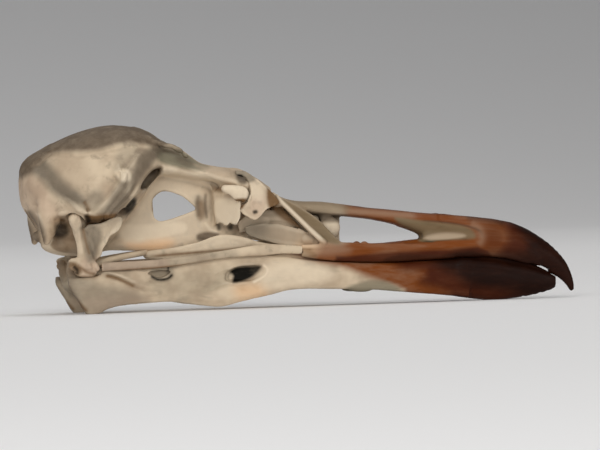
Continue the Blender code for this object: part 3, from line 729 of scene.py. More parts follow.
def shapeCranium():
    clay = Clay((-1.5, 0, 11.0), (58.0, 18.4, 44.4), headShape["step"])
    clay.loft(braincase, upper=2.15, lower=1.45, blend=0.1)
    clay.loft(brow, upper=1.5, lower=2.4, blend=1.4)
    clay.slab(septum, 0, 0.62, blend=2)
    clay.limb([(14, 0, 15.6, 2.6, 1.9), (20, 0, 15.8, 1.7, 1.3), (30, 0, 15.6, 1.1, 1.1),
        (38, 0, 16.2, 0.9, 1), (46, 0, 17.8, 0.8, 1)], blend=1)
    clay.ball((11.5, 0, 15.6), (6.6, 6.4, 2.5), blend=1.6)
    clay.ball((4.5, 0, 17.6), (1.4, 1.5, 1.3), blend=0.6)
    clay.limb([(4.6, 0, 17.6, 1.1, 1), (8, 0, 17, 2.6, 2.4)], blend=0.8)
    clay.limb([(0.9, 0, 31.6, 1, 0.9), (2.6, 0, 34.2, 1.2, 0.8), (7, 0, 36.8, 1, 0.8)], blend=1.2)
    # processes and crests of the side
    clay.limb([(6.4, 10.2, 24.6, 2.2, 3.6), (5.8, 11.5, 21.2, 1.3, 2.7), (5.2, 12.2, 18.4, 0.9, 1.6),
        (4.8, 12.5, 16.2, 0.6, 0.7)], blend=1)
    clay.limb([(3.6, 5.4, 31.6, 0.8, 0.8), (4.6, 9, 31.4, 0.9, 0.9), (6.6, 12, 29.2, 0.9, 0.9),
        (9, 14, 26.4, 1, 0.8), (11.6, 15.1, 23.8, 1, 0.8), (13.4, 15.2, 22.8, 0.7, 0.7)], blend=0.8)
    clay.limb([(20, 11.6, 33.6, 2.2, 1.6), (20.8, 14.2, 32.2, 1.8, 1.3), (21.3, 15.6, 30.7, 1.2, 1.1),
        (21.4, 15.9, 29.6, 0.7, 0.7)], blend=1)
    clay.limb([(22, 14, 31, 0.8, 1), (20.4, 13.6, 26.6, 0.8, 1), (17.6, 12.8, 22.6, 0.8, 1),
        (14.6, 12.2, 20.4, 0.9, 1.1)], blend=0.8)
    clay.limb([(8, 12.6, 22.6, 1.1, 0.9), (11, 13.4, 23.9, 1.5, 0.9), (14, 13.4, 22.6, 1.1, 0.9)],
        blend=0.6)
    # ethmoid plate in front of the eye and its strut under the brow
    clay.slab(ethmoid, 1.2, 1.2, 1.4, blend=1.2, soft=0)
    clay.limb([(48.2, 1.2, 28.6, 2.2, 1.6), (49.6, 7.8, 29, 2.2, 1)], blend=1)
    # openings
    clay.slab(eyeWindow, 0, 3, blend=0.35, cut=True)
    clay.ball((2.6, 0, 21.2), (3.4, 3, 2.6), (0, 20, 0), 0.5, True)
    clay.ball((10.6, 12.8, 17.4), (3.6, 4.4, 4.6), blend=0.7, cut=True)
    clay.ball((17.2, 12.6, 16), (6.8, 5.6, 5.2), blend=0.9, cut=True)
    clay.ball((21, 9.8, 19.8), (3.8, 3.6, 4.2), blend=0.9, cut=True)
    clay.limb([(10.9, 12.3, 22.4, 1.3, 1.3), (11, 12.3, 21.2, 2, 2), (11.8, 12.2, 18, 2.2, 2.2),
        (13, 12, 14, 2.6, 2.6)], 0.4, True)
    clay.ball((23.4, 4, 23.8), (2.4, 2.4, 2.5), blend=0.5, cut=True)
    clay.ball((28, 3.4, 29.7), (3.2, 2, 1.5), (0, -50, 0), 0.5, True)
    clay.limb([(30.5, 7, 38.4, 1.6, 1.1), (34.5, 4.7, 37.6, 1.9, 1.3), (38.5, 4.4, 35.4, 1.9, 1.3),
        (42.5, 5.6, 33.7, 1.3, 0.9)], 0.5, True)
    # fossa of the temple: its floor, the sharp line above it and the crests round it
    clay.hollow(templeArea, 1.6, 0.75, inner=6)
    clay.crease(templeTop, 0.6, -0.12, inner=5)
    clay.crease([(x, z - 0.9) for x, z in templeTop], 0.8, 0.25, inner=5)
    clay.crease(templeBack, 0.7, -0.3, inner=6)
    clay.crease([(x + 1.8, z + 1.1) for x, z in templeBack], 1.5, 0.75, inner=6)
    clay.crease(templeFront, 0.6, -0.45, inner=8)
    clay.crease([(x - 1.3, z - 0.4) for x, z in templeFront], 0.9, 0.45, inner=8)
    clay.groove(0.5, 0.35, 10, 15, 86, 200, 89, 206, 91, 213)
    # folds on the rear wall of the eye socket
    for shift, depth in ((0, 0.55), (5, -0.45), (9, 0.5), (14, -0.4), (19, 0.45)):
        clay.groove(0.55, depth, 3, 12, 128 + shift, 182, 120 + shift, 196, 110 + shift * 0.7, 208,
            102 + shift * 0.6, 222)
    clay.hollow(trace(4, 138, 188, 140, 181, 147, 173, 155, 168.5, 160, 168, 158, 174, 151, 181, 144, 187),
        0.5, 2.2, inner=1.5)
    # sheet edge of the brow and the salt-gland face
    clay.groove(0.5, -0.5, 2.5, 6, 165, 160, 180, 165, 200, 172, 212, 177, 222, 181)
    clay.groove(0.9, 0.6, 2, 6, 175, 170, 190, 172, 205, 177, 222, 185)
    clay.groove(0.5, 0.45, 4, 9, 150, 148, 160, 151, 172, 152, 186, 156)
    clay.groove(0.7, 0.7, 2, 6, 208, 185, 216, 188, 224, 190)
    clay.groove(0.9, -0.4, 3, 8, 205, 176, 218, 172, 235, 172)
    # folds and pits of the ethmoid plate
    for column in (197, 202, 208):
        clay.groove(0.4, 0.35, 0.8, 3, column + 2, 194, column, 206, column + 1, 220)
    clay.ball((40.6, 2, 22.4), (0.8, 1.2, 1), blend=0.3, cut=True)
    for column, row, size in ((222, 227, 0.6), (233, 228, 0.75), (240, 217, 0.9)):
        x, z = photoPoint(column, row, 6)
        clay.ball((x, 6.5, z), (size, 1.6, size * 0.8), blend=0.6, cut=True)
    # small marks of the occiput and the ear
    for column, row, size in ((24, 168, 0.5), (27, 173, 0.6), (30, 170, 0.4), (26, 200, 0.5), (36, 206, 0.5)):
        x, z = photoPoint(column, row, 8)
        clay.crease([(x - size, z), (x, z + 0.3), (x + size, z - 0.2)], 0.4, 0.4, inner=2)
    clay.groove(0.6, 0.6, 9, 13, 55, 221, 62, 219, 70, 221)
    clay.groove(0.9, -0.5, 8, 12, 92, 214, 100, 224, 104, 232)
    # rough upper edge of the brow
    for column, row, size in ((150, 138, 0.5), (157, 142.5, 0.6), (165, 145, 0.75), (172, 146.5, 0.6),
                              (179, 150, 0.7), (186, 156, 0.5)):
        x, z = photoPoint(column, row, 7)
        clay.ball((x, 6.6, z), (size * 1.5, 1.1, size * 0.8), (0, 25, 0), blend=0.8)
    clay.keep(clay.x[:, None, None] - headShape["hingeX"])
    return clay


headStrokes = [
    # the dark crown: painted shade on its upward-facing top, together with its stain
    area("dark", 0.9, 0.95, 0, 99, 11, 14, 180, 26, 158, 45, 144, 70, 134, 104, 118, 125, 118, 152, 128,
        172, 138, 178, 143, 160, 148, 150, 146, 130, 143, 112, 146, 100, 150.5, 80, 152, 66, 152, 54, 156,
        44, 165, 30, 177),
    # the next two: painted shade on the rear slope of the temple fossa, which faces up and back
    area("grey", 1.3, 0.95, 6, 99, 13.5, 36, 158, 52, 162, 64, 176, 76, 188, 88, 200, 89, 209, 74, 204, 58,
        195, 46, 181, 34, 169),
    area("dark", 1.5, 0.4, 6, 99, 13.5, 38, 162, 48, 164, 58, 177, 68, 187, 80, 199, 72, 200, 58, 192, 46,
        178),
    # painted shade in the crease where the temple fossa narrows to its point
    line("brown", 0.5, 0.6, 10, 99, 15, 86, 201, 89, 206, 91, 212),
    area("grey", 0.9, 0.75, 4, 99, 11, 118, 182, 131, 172, 136, 160, 152, 148, 168, 148, 150, 166, 134, 186,
        124, 204, 108, 218, 92, 216, 104, 204),
    area("dark", 0.8, 0.6, 3, 99, 9, 138, 150, 150, 149, 166, 150, 154, 162, 140, 180, 128, 194, 132, 176),
    area("pale", 0.5, 0.75, 9, 99, 15, 117, 172, 126, 169, 132, 174, 131, 181, 122, 181),
    area("dark", 0.6, 0.6, 0, 99, 9, 152, 142, 168, 140, 186, 147, 182, 152, 166, 152, 154, 151),
    area("pale", 1.4, 0.55, 0, 2.2, 1, 136, 196, 150, 180, 170, 176, 196, 182, 206, 200, 206, 226, 190, 240,
        140, 246, 120, 244, 124, 222),
    area("pink", 1.5, 0.3, 0, 99, 9, 20, 190, 34, 172, 52, 200, 58, 214, 44, 226, 28, 210),
    # the ear hollow: painted shade, and painted shadow deep in it
    area("brown", 1.4, 0.7, 4, 99, 11, 53, 219, 66, 217, 80, 224, 80, 248, 66, 257, 52, 246, 50, 232),
    area("shadowBlack", 0.7, 0.8, 4, 99, 11, 56, 224, 68, 223, 72, 232, 66, 238, 57, 236),
    area("pale", 0.5, 0.5, 4, 99, 11, 62, 240, 67, 240, 67, 246, 62, 246),
    # painted shadow in the slot behind the eye opening
    area("shadowBlack", 1, 0.9, 1, 99, 4, 138, 188, 142, 179, 149, 171, 158, 167, 157, 174, 150, 183, 143, 189),
    # painted shadow in a small opening behind the eye, and painted shade round it
    area("shadowBlack", 0.6, 0.95, 0, 12, 6, 121, 204, 128, 198, 135, 200, 134, 209, 126, 213),
    area("dark", 0.8, 0.8, 0, 12, 6, 116, 208, 124, 198, 134, 197, 136, 210, 124, 217),
    # the next two: painted shade under the squamosal above the quadrate, darkest in its corner
    area("brown", 0.7, 1.2, 5, 99, 11.5, 85, 216, 94, 215, 108, 214, 118, 214, 112, 226, 100, 231, 90, 228),
    area("shadowBlack", 0.4, 0.9, 5, 99, 11.5, 84, 216, 88, 215, 92, 221, 88, 224),
    line("pale", 0.35, 0.6, 9, 99, 12, 88, 212, 98, 217, 110, 214),
    area("green", 0.7, 1.1, 1.5, 99, 7, 156, 152, 178, 149, 198, 155, 212, 165, 204, 170, 182, 168, 160,
        162),
    line("dark", 0.5, 0.7, 1.5, 99, 9, 150, 150, 162, 151, 174, 151, 186, 156),
    area("dark", 0.6, 0.5, 1.5, 99, 7, 176, 158, 186, 156, 196, 163, 188, 167),
    area("pale", 0.7, 0.9, 0.5, 99, 4, 158, 170, 190, 172, 216, 180, 222, 190, 196, 184, 166, 178),
    area("grey", 1, 0.6, 6, 99, 14, 88, 196, 100, 190, 106, 200, 96, 213, 88, 210),
    area("grey", 1.2, 0.4, 6, 99, 14, 122, 150, 142, 150, 136, 168, 124, 180, 114, 172),
    area("tan", 1.6, 0.6, 6, 99, 14, 60, 156, 84, 158, 92, 180, 74, 190, 60, 172),
    area("tan", 0.9, 0.8, 3, 99, 11, 32, 214, 44, 212, 52, 236, 48, 248, 36, 244),
    line("brown", 0.8, 0.8, 1.5, 99, 5, 210, 186, 216, 188, 224, 190),
    line("pale", 0.5, 0.6, 2, 99, 6, 163, 167, 180, 171, 200, 176, 222, 182),
    area("tan", 0.8, 0.7, 2, 99, 8, 196, 164, 220, 167.5, 238, 171, 234, 178, 214, 174),
    area("warm", 1.4, 0.85, 0, 99, 2, 126, 240, 140, 240, 150, 236, 166, 236, 174, 242, 160, 250, 130, 248),
    # painted shade in the pit between the brow and the lacrimal
    area("dark", 0.6, 0.9, 2, 99, 8, 236, 172, 244, 174, 246, 184, 238, 183),
    line("dark", 0.5, 0.6, 0, 3, 1, 199, 194, 197, 204, 199, 218),
    line("dark", 0.35, 0.7, 0, 3, 1, 206, 192, 205, 204, 207, 220),
    area("brown", 0.8, 0.7, 0, 3, 1, 196, 202, 203, 200, 206, 210, 204, 219, 198, 219),
    line("pale", 0.4, 0.9, 0, 99, 4, 206, 221, 212, 229, 220, 232),
    # the next two: painted shadow in two holes of the ethmoid plate
    area("shadowBlack", 0.4, 0.8, 0, 99, 6, 220, 225, 223, 224, 224, 229, 221, 230),
    area("shadowBlack", 0.4, 0.8, 0, 99, 6, 231, 226, 236, 224, 236, 229, 232, 230),
    # painted shade in the gap under the septum's lower edge
    area("dark", 0.4, 0.9, 0, 99, 3, 198, 235, 208, 232, 220, 234, 214, 240, 200, 241),
    area("pale", 1.2, 0.9, 0, 3, 1, 120, 224, 150, 222, 184, 220, 188, 232, 170, 238, 124, 244),
    area("pale", 0.6, 0.9, 2.6, 99, 4, 214, 200, 236, 200, 237, 222, 224, 226, 214, 214),
    area("grey", 0.8, 0.5, 0, 3, 1, 192, 197, 206, 196, 208, 212, 198, 215),
    # more painted shadow under the squamosal
    area("shadowBlack", 0.6, 0.5, 5, 99, 11.5, 90, 219, 102, 218, 110, 219, 104, 226, 94, 226),
    area("dark", 0.8, 0.5, 3, 99, 9, 112, 196, 122, 192, 128, 200, 118, 212, 106, 214),
    line("brown", 0.4, 0.8, 0, 99, 0, 153, 213, 152.5, 203, 156, 195, 166, 191),
    line("pale", 0.5, 0.6, 6, 99, 12.4, 40, 212, 43, 226, 44, 237),
    # painted shadow on the rear face of the occiput behind the paroccipital process
    area("dark", 0.6, 0.9, 0, 99, 6, 30, 211, 36, 216, 41, 226, 44, 240, 40, 245, 32, 244, 31, 228),
]

addBone(shapeCranium(), headStrokes, headShape, boneMaterial, ["cranium"])
print("cranium shaped")

# Upper bill

culmen = [(55, 0, 7.9, 24, 25.2, 28.9), (58, 0, 7, 23.8, 24.7, 26.6), (60.8, 0, 6.2, 23.4, 24.3, 25.6),
    (64, 0, 4.8, 22.6, 23.8, 25.3), (68, 0, 3.6, 22.2, 23.4, 25.2), (73, 0, 2.8, 21.9, 23, 24.6),
    (78.5, 0, 2.6, 21.3, 22.4, 23.9), (84, 0, 2.7, 20.2, 21.6, 23.4), (89, 0, 3, 18.4, 20.8, 22.9),
    (94, 0, 3.3, 16, 20, 22.5)]
billTip = [(90.3, 0, 1, 15.9, 17, 17.9), (91.4, 0, 3, 13.9, 15.6, 20.6), (94, 0, 4.7, 12.6, 15, 22.5),
    (98.5, 0, 4.6, 12.8, 15, 22.2), (104, 0, 4.4, 12.8, 15.4, 21.7), (108, 0, 4.1, 12.4, 15.2, 21.2),
    (111.5, 0, 3.6, 11.7, 14.4, 20.3), (115, 0, 3, 10.9, 13.4, 18.7), (117.5, 0, 2.4, 10.2, 12.4, 16.6)]
cuttingEdge = [(62.4, 7.1, 0.65, 13, 14.4, 15.6), (66, 6.6, 0.8, 12.4, 14.2, 15.8),
    (70, 6.2, 0.9, 12, 14, 16.2), (76, 5.6, 0.95, 11.8, 13.8, 16), (84, 4.85, 1, 11.8, 13.9, 15.8),
    (92, 4, 1.1, 12.3, 14.2, 16.2), (97, 3.5, 1, 12.8, 14.4, 15.8)]
billShape = {"step": 0.25, "hingeX": 56.65, "Lumps": 0.12, "Lump Size": 3.0, "Grain": 0.05,
             "Grain Size": 0.8, "Seed": 11.0}


def shapeBill():
    clay = Clay((48.4, 0, 3.5), (126.5, 9.4, 30.5), billShape["step"])
    clay.loft(culmen, 2, 2.4, blend=0.1)
    clay.loft(billTip, 1.9, 4, blend=0.8)
    clay.limb([(110.5, 0, 16.2, 3.5, 4.1), (114.8, 0, 14.7, 2.95, 3.75), (118.7, 0, 12.8, 2.25, 3),
        (121.5, 0, 10.9, 1.65, 2.2), (123.3, 0, 9, 1.15, 1.5), (124.4, 0, 7.2, 0.8, 0.95),
        (124.9, 0, 5.8, 0.5, 0.6)], blend=0.8)
    clay.slab([(85, 21.5), (94, 22), (100, 20), (100, 14), (92, 13.4), (88.6, 15.4), (90.3, 16.6),
        (90.3, 17.6), (89.4, 18.4), (87.9, 19), (85.2, 19.8)], 0, 0.7, blend=0.5, soft=0)
    clay.slab([(55.4, 25.4), (72, 22.6), (72, 16.4), (62, 16.4), (55.4, 17)], 0, 0.62, blend=0.5, soft=0)
    clay.loft(cuttingEdge, 2.6, 2.6, blend=0.8)
    bar = trace(6.8, 271, 193, 277, 198.5, 288, 209, 300, 220.5, 312, 232, 324, 242)
    clay.limb([(x, 6.8, z, 0.75, 0.72) for x, z in bar], blend=0.5)
    fold = trace(5.4, 283, 203, 296, 210, 308, 219, 320, 229.5, 336, 242)
    clay.limb([(x, 5.3, z, 0.7, 0.8) for x, z in fold], blend=0.8)
    clay.slab(trace(5.4, 272, 195, 284, 201, 296, 206, 312, 215, 322, 223, 338, 242, 322, 242, 298, 221),
        5.5, 0.6, 0, 0.8, soft=0)
    clay.limb([(67.5, 4.6, 14.7, 1.8, 0.7), (74, 3.7, 15, 1.9, 0.7), (82, 2.8, 15.3, 2.2, 0.7),
        (91, 2, 15.8, 2.2, 1.2)], blend=0.8)
    clay.slab(trace(4.4, 246, 227, 262, 223.5, 278, 223, 303, 229.5, 314, 235, 319, 244, 300, 246.5, 280,
        244.5, 262, 240, 248, 235), 3.7, 0.5, 0.08, 0.5, soft=3)
    clay.slab(trace(3.4, 262, 196, 272, 200, 284, 208, 296, 220, 306, 231, 280, 226, 262, 228, 240, 233,
        238, 222, 250, 212), 2.7, 0.45, 0.1, 0.5, soft=0)
    x, z = photoPoint(308, 239, 5.4)
    clay.ball((x, 5.2, z), (1.6, 0.7, 1.2), blend=0.6)
    clay.ball((69.6, 1.7, 19.4), (2.3, 1.9, 2.5), blend=0.4)
    clay.ball((66, 2.2, 21.2), (1.1, 1.1, 1), blend=0.4)
    clay.ball((76.8, 5.4, 16), (0.7, 0.5, 0.4), blend=0.3)
    clay.limb([(68.5, 2.4, 17.6, 0.9, 1.2), (69.5, 4.4, 15, 1, 1)], blend=0.6)
    clay.limb([(69.4, 1.2, 20.6, 0.9, 1.2), (67.6, 1.2, 23.2, 0.9, 1.2)], blend=0.6)
    # palate, and the groove in front of the nostril with the pale lens in it
    clay.loft([(83, 0, 2.4, 11, 12, 13.9), (90, 0, 3.1, 10.6, 12.2, 14.4), (106, 0, 3.1, 10.6, 12.2, 14.4),
        (112, 0, 2.5, 9.8, 11.4, 13.4), (116, 0, 1.9, 9, 10.4, 12), (119.6, 0, 1.2, 8.2, 9.4, 10.6)], 4,
        blend=0.3, cut=True)
    clay.limb([(87, 4.9, 18, 2.3, 2.2), (94, 5, 18.2, 1.9, 1.9), (103, 5.4, 18, 1.5, 1.5)], 0.4, True)
    x, z = photoPoint(446, 236.5, 3.2)
    clay.ball((x, 2.35, z), (5, 0.9, 1), (0, 3, 0), 0.6)
    # edges, ridges and folds seen from the side
    clay.groove(0.45, -0.35, 1.6, 3.6, 420, 221, 440, 223.5, 460, 226, 480, 230.6)
    clay.groove(0.4, -0.25, 2.5, 4, 410, 246, 440, 247, 470, 246, 486, 240)
    clay.groove(0.3, 0.3, 2.2, 6.8, 275, 199, 288, 212, 300, 224, 310, 234, 320, 244)
    clay.crease(trace(4, 262, 223, 278, 222.5, 292, 226, 305, 230), 0.3, 0.3, inner=2.2, outer=5)
    clay.groove(0.5, -0.22, 1.8, 4, 410, 259, 440, 258, 470, 257, 500, 261, 520, 266, 545, 277)
    clay.groove(0.35, 0.2, 1.8, 4, 410, 262, 440, 261, 470, 260.5, 500, 264, 525, 271)
    clay.groove(0.4, 0.22, 3, 4.5, 345, 252.5, 380, 253, 420, 252, 455, 250)
    clay.groove(0.5, 0.16, 1, 2, 352, 210, 400, 214, 440, 217.5, 480, 220)
    clay.groove(0.6, 0.16, 1, 2.6, 488, 224, 505, 228, 520, 236, 535, 247, 548, 260)
    clay.groove(0.5, 0.16, 1.2, 3, 470, 248, 500, 251, 520, 256, 540, 266, 556, 276)
    clay.groove(0.4, 0.3, 4, 6, 296, 252, 310, 251, 330, 249)
    back = billShape["hingeX"] - clay.x[:, None, None]
    high = clay.z[None, None, :] - 23.4
    inner = np.minimum(1.6 - clay.y[None, :, None], 24 - clay.z[None, None, :])
    clay.keep(np.minimum(back, np.maximum(high, inner)))
    return clay


billStrokes = [
    area("olive", 0.8, 0.6, 0, 99, 4, 286, 197, 330, 200, 352, 207, 340, 213, 300, 211, 288, 204),
    area("warm", 1.4, 0.4, 3, 99, 6, 300, 244, 326, 243, 334, 252, 316, 257, 296, 250),
    area("grey", 0.6, 0.7, 2.6, 5, 4.4, 240, 226, 262, 222, 290, 226, 304, 230, 300, 246, 250, 243),
    # the next two: painted shadow under the frontal and the nasal bar
    area("brown", 0.6, 0.9, 2, 4.4, 3.4, 264, 198, 276, 200, 290, 210, 308, 231, 294, 227, 276, 214),
    area("brown", 0.5, 0.95, 2, 99, 6, 266, 187, 271, 190, 279, 204, 268, 207),
    area("olive", 0.5, 0.95, 3, 99, 5.6, 281, 199, 296, 205, 312, 215, 326, 226, 340, 243, 326, 242, 314,
        230, 302, 219, 290, 208),
    area("pale", 0.3, 0.4, 2, 5, 4, 237, 218, 250, 216, 268, 217, 268, 224, 250, 226, 238, 231),
    line("pale", 0.4, 0.6, 6.2, 99, 6.8, 273, 194, 288, 208.5, 300, 220, 312, 232, 324, 241),
    # painted shadow under the culmen bar
    line("shadowBlack", 0.3, 0.5, 0, 3.6, 3, 294, 202, 304, 209, 318, 216, 334, 217.5),
    area("amber", 1.6, 0.95, 0, 99, 4, 324, 243, 345, 240, 345, 206, 334, 199, 350, 190, 600, 190, 600, 310,
        340, 310, 312, 262, 312, 254),
    area("olive", 0.5, 0.95, 0, 4.4, 3.4, 396, 217, 425, 221, 460, 225, 474, 231, 476, 239, 466, 243, 425,
        244, 416, 233, 404, 226),
    area("rust", 0.5, 0.95, 1.2, 99, 4.6, 334, 260, 345, 256.5, 400, 252, 450, 250, 490, 251, 500, 300, 340,
        300),
    area("tan", 1.4, 0.28, 3, 99, 6, 314, 244, 340, 245, 350, 250, 340, 254, 316, 256),
    # painted highlight along the middle of the culmen
    line("tan", 0.7, 0.3, 0, 99, 2, 344, 211, 380, 213, 420, 216),
    # painted shade on the culmen's upward-facing top edge
    line("umber", 0.5, 0.45, 0, 99, 1, 350, 204.5, 400, 208.5, 450, 213),
    line("tan", 0.9, 0.18, 1, 99, 3.6, 472, 222, 481, 229, 483, 239, 478, 246),
    area("rust", 2.2, 0.95, 0, 99, 2.4, 494, 205, 503, 222, 507, 240, 500, 250, 500, 300, 640, 300, 640,
        190),
    # painted shade on the culmen's upward-facing top edge, in red-brown
    line("rust", 0.45, 0.9, 0, 99, 1, 345, 204, 400, 208.5, 450, 213, 485, 215.5, 505, 219),
    area("umber", 0.5, 0.8, 1.2, 99, 4.4, 385, 258, 440, 255, 485, 254, 500, 300, 380, 300),
    area("amber", 0.8, 0.8, 2, 99, 5, 340, 243, 400, 243, 450, 243, 478, 243, 476, 250, 400, 251, 344, 252),
    line("umber", 0.3, 0.6, 1.5, 99, 3.4, 420, 221, 450, 223, 478, 229, 484, 236),
    area("black", 1.8, 0.9, 0, 99, 2.4, 508, 205, 513, 222, 525, 238, 526, 250, 490, 253, 450, 257, 450,
        300, 640, 300, 640, 200),
    area("tan", 0.5, 0.8, 1, 4.2, 3.2, 424, 238, 434, 234.5, 448, 233, 463, 234, 466, 237, 452, 240, 432,
        240.5),
    # painted shadow under the pale lens in the nostril groove
    line("shadowBlack", 0.45, 1, 1, 4.4, 3.4, 422, 242.8, 440, 243, 458, 242.4, 470, 239.5),
    area("pale", 0.5, 0.5, 0, 4, 2, 322, 224, 341, 224, 341, 238, 324, 238),
    area("brown", 0.5, 0.6, 4, 99, 6.5, 290, 252, 310, 250, 316, 258, 292, 259),
    line("brown", 0.4, 0.7, 2.5, 99, 5.5, 262, 247, 290, 249, 314, 249.5),
    # painted shadow under the culmen bar, beside the conch
    area("shadowBlack", 0.5, 0.6, 0, 4.6, 2, 312, 213, 330, 215, 346, 215, 344, 221, 326, 222, 314, 218),
    # painted shade on the culmen's top edge towards the tip
    line("umber", 1, 0.7, 0, 99, 1, 466, 215.5, 488, 218, 508, 223),
    area("rust", 2.2, 0.5, 1, 99, 3.2, 487, 226, 504, 228, 508, 250, 492, 252, 484, 246),
]
billMaterial = makeSurface("stainedHorn", billLook)
addBone(shapeBill(), billStrokes, billShape, billMaterial, ["upper_bill"])
print("upper bill shaped")

# Lower jaw

ramus = [(9.6, 12.3, 1.1, 6.6, 7.4, 8.4), (11.5, 12.6, 1.9, 3.6, 5.6, 8.3), (14.2, 12.7, 2, -0.1, 3.4, 8),
    (18.5, 12.4, 1.6, 1.4, 5, 9.9), (22.5, 12.2, 1.4, 2.2, 6, 10.7), (28, 11.7, 1.25, 2.8, 6.4, 11),
    (33, 11.2, 1.2, 3, 6.8, 11.4), (39.5, 10.3, 1.2, 2.2, 7, 12.4), (44, 9.7, 1.2, 1.9, 7.2, 13),
    (49, 8.9, 1.2, 3.1, 8, 13.2), (55, 7.9, 1.2, 4.4, 8.6, 13.2), (60, 7.1, 1.25, 5.6, 9, 12.8),
    (65, 6.5, 1.3, 5.8, 9, 12.1), (72, 5.8, 1.35, 5.7, 8.8, 11.7), (80, 4.9, 1.4, 5.5, 8.6, 11.5),
    (88, 4, 1.5, 4.9, 8.6, 11.8), (96, 3, 1.7, 4.3, 8.6, 12.4), (101, 2.2, 1.8, 3.8, 8.4, 12.5)]
jawTip = [(96, 0, 3.2, 4.4, 7.6, 9), (99, 0, 4.3, 3.9, 8.6, 12.6), (104, 0, 4.1, 3.3, 8.6, 12.6),
    (107, 0, 3.8, 2.9, 8.4, 12.3), (110.5, 0, 3.3, 3.4, 8, 11.6), (115, 0, 2.5, 4.1, 7.6, 10.7),
    (118.2, 0, 1.9, 4.8, 7.1, 9.5), (120.1, 0, 1.5, 5.4, 7.2, 9), (121.2, 0, 1.1, 6, 7.3, 8.5)]
topRidge = [(54, 7.4, 11.4, 0.35, 1.2), (57, 6.9, 11.9, 0.4, 1.5), (60, 6.2, 12.1, 0.4, 1.6),
    (62.5, 5.6, 12.1, 0.4, 1.6), (66, 4.95, 11.4, 0.45, 1.6), (70, 4.5, 11.3, 0.5, 1.5),
    (76, 3.75, 11.5, 0.5, 1.6), (80.5, 3.55, 11.6, 0.42, 1.65), (84, 2.95, 11.6, 0.55, 1.7),
    (92, 2.1, 11.8, 0.6, 1.8), (98, 2.05, 12, 0.6, 1.7), (106, 2, 11.8, 0.6, 1.7),
    (112, 1.4, 10.8, 0.55, 1.6), (116, 0.9, 9.9, 0.5, 1.3), (119, 0.5, 8.8, 0.4, 1)]
jawWindow = [(45.2, 8), (45.8, 9.6), (48.5, 10.6), (52.4, 10.6), (53.4, 9.8), (51.8, 8.4), (48.6, 7.4),
    (46.2, 7.2)]
smallWindow = [(27.4, 9.5), (28.2, 8.8), (30, 8.4), (31.6, 8.9), (32.4, 9.8), (30, 10)]
jawShape = {"step": 0.27, "Lumps": 0.16, "Lump Size": 3.4, "Grain": 0.06, "Grain Size": 0.9, "Seed": 23.0}


def shapeJaw():
    clay = Clay((8.0, 0, -1.5), (122.6, 16.4, 14.4), jawShape["step"])
    clay.loft(ramus, 2.2, 2.6, blend=0.1)
    clay.loft(jawTip, 4, 1.8, blend=1)
    clay.limb(topRidge, blend=0.5)
    clay.limb([(13.8, 12.8, 6.2, 2.2, 2), (13.2, 10, 6.2, 2.6, 1.6), (12.2, 7.4, 7, 1.8, 1.4)], blend=1.6)
    clay.limb([(12.2, 8.4, 6.8, 1.4, 1.5), (10.9, 7.6, 9.4, 1.1, 1.2), (10.6, 8.2, 11.4, 0.8, 0.8)], blend=0.6)
    x, z = photoPoint(360, 290, 5)
    clay.ball((x, 5, z), (2.4, 1, 0.5), blend=0.6)
    clay.loft([(94, 0, 0.8, 8, 10, 16), (100, 0, 1.3, 7.6, 10.6, 16), (110, 0, 1.1, 7.6, 10.4, 16),
        (115, 0, 0.5, 7.8, 9.6, 16)], blend=0.3, cut=True)
    for column, row, size in ((536, 297.5, 0.45), (544, 295, 0.4), (551, 294, 0.55), (526, 298.5, 0.4)):
        x, z = photoPoint(column, row, 0.5)
        clay.ball((x, 0.5, z), (size, 3, size), blend=0.3, cut=True)
    clay.slab(jawWindow, 12.45, 3, -0.17, 0.9, True)
    clay.slab(smallWindow, 14.1, 3, blend=0.3, cut=True)
    # rims, hollows and folds seen from the side
    clay.crease(jawWindow + jawWindow[:1], 0.55, -0.25, inner=7.5, fade=0)
    clay.hollow(trace(9.6, 206, 292, 214, 276, 228, 266, 262, 263, 268, 274, 262, 284, 236, 290), 1.2, 0.5,
        inner=8.5)
    clay.groove(0.5, -0.35, 8, 10, 206, 292, 222, 284, 236, 282, 250, 284)
    clay.groove(0.4, -0.25, 8, 10, 212, 275, 222, 270, 234, 267)
    clay.groove(0.5, -0.35, 10, 13, 98, 270, 112, 273, 126, 279, 138, 286)
    clay.groove(0.45, 0.35, 9, 13, 60, 276, 66, 282, 70, 292, 80, 306)
    clay.groove(0.6, 0.45, 10, 12, 146, 279, 156, 282, 170, 279, 176, 273)
    clay.groove(0.45, -0.3, 10, 12, 150, 266, 162, 264, 173, 264)
    clay.groove(0.5, 0.45, 11, 13, 105, 275, 115, 277, 125, 281, 137, 287, 150, 292)
    clay.groove(0.5, -0.3, 11, 13, 105, 272, 116, 273.5, 128, 277, 140, 283)
    clay.hollow(trace(13.5, 84, 290, 110, 286, 150, 292, 146, 302, 104, 306, 90, 308), 1.4, 0.35, inner=12)
    clay.groove(0.6, -0.18, 5, 10, 150, 300, 180, 297, 220, 299, 250, 294, 290, 285, 330, 283)
    clay.groove(0.8, 0.2, 6, 10, 180, 290, 200, 294, 230, 293, 262, 288, 300, 280)
    clay.groove(0.5, 0.2, 1.6, 5, 335, 268, 370, 270, 410, 270, 450, 268, 490, 270, 530, 276)
    clay.groove(0.5, 0.14, 1.4, 4, 340, 282, 370, 284, 410, 285, 450, 288, 500, 290, 540, 287)
    x, y, z = clay.x[:, None, None], clay.y[None, :, None], clay.z[None, None, :]
    c, s = math.cos(tilt), math.sin(tilt)
    clay.keep(x * s - z * c - rest["lift"] + 0 * y)
    return clay


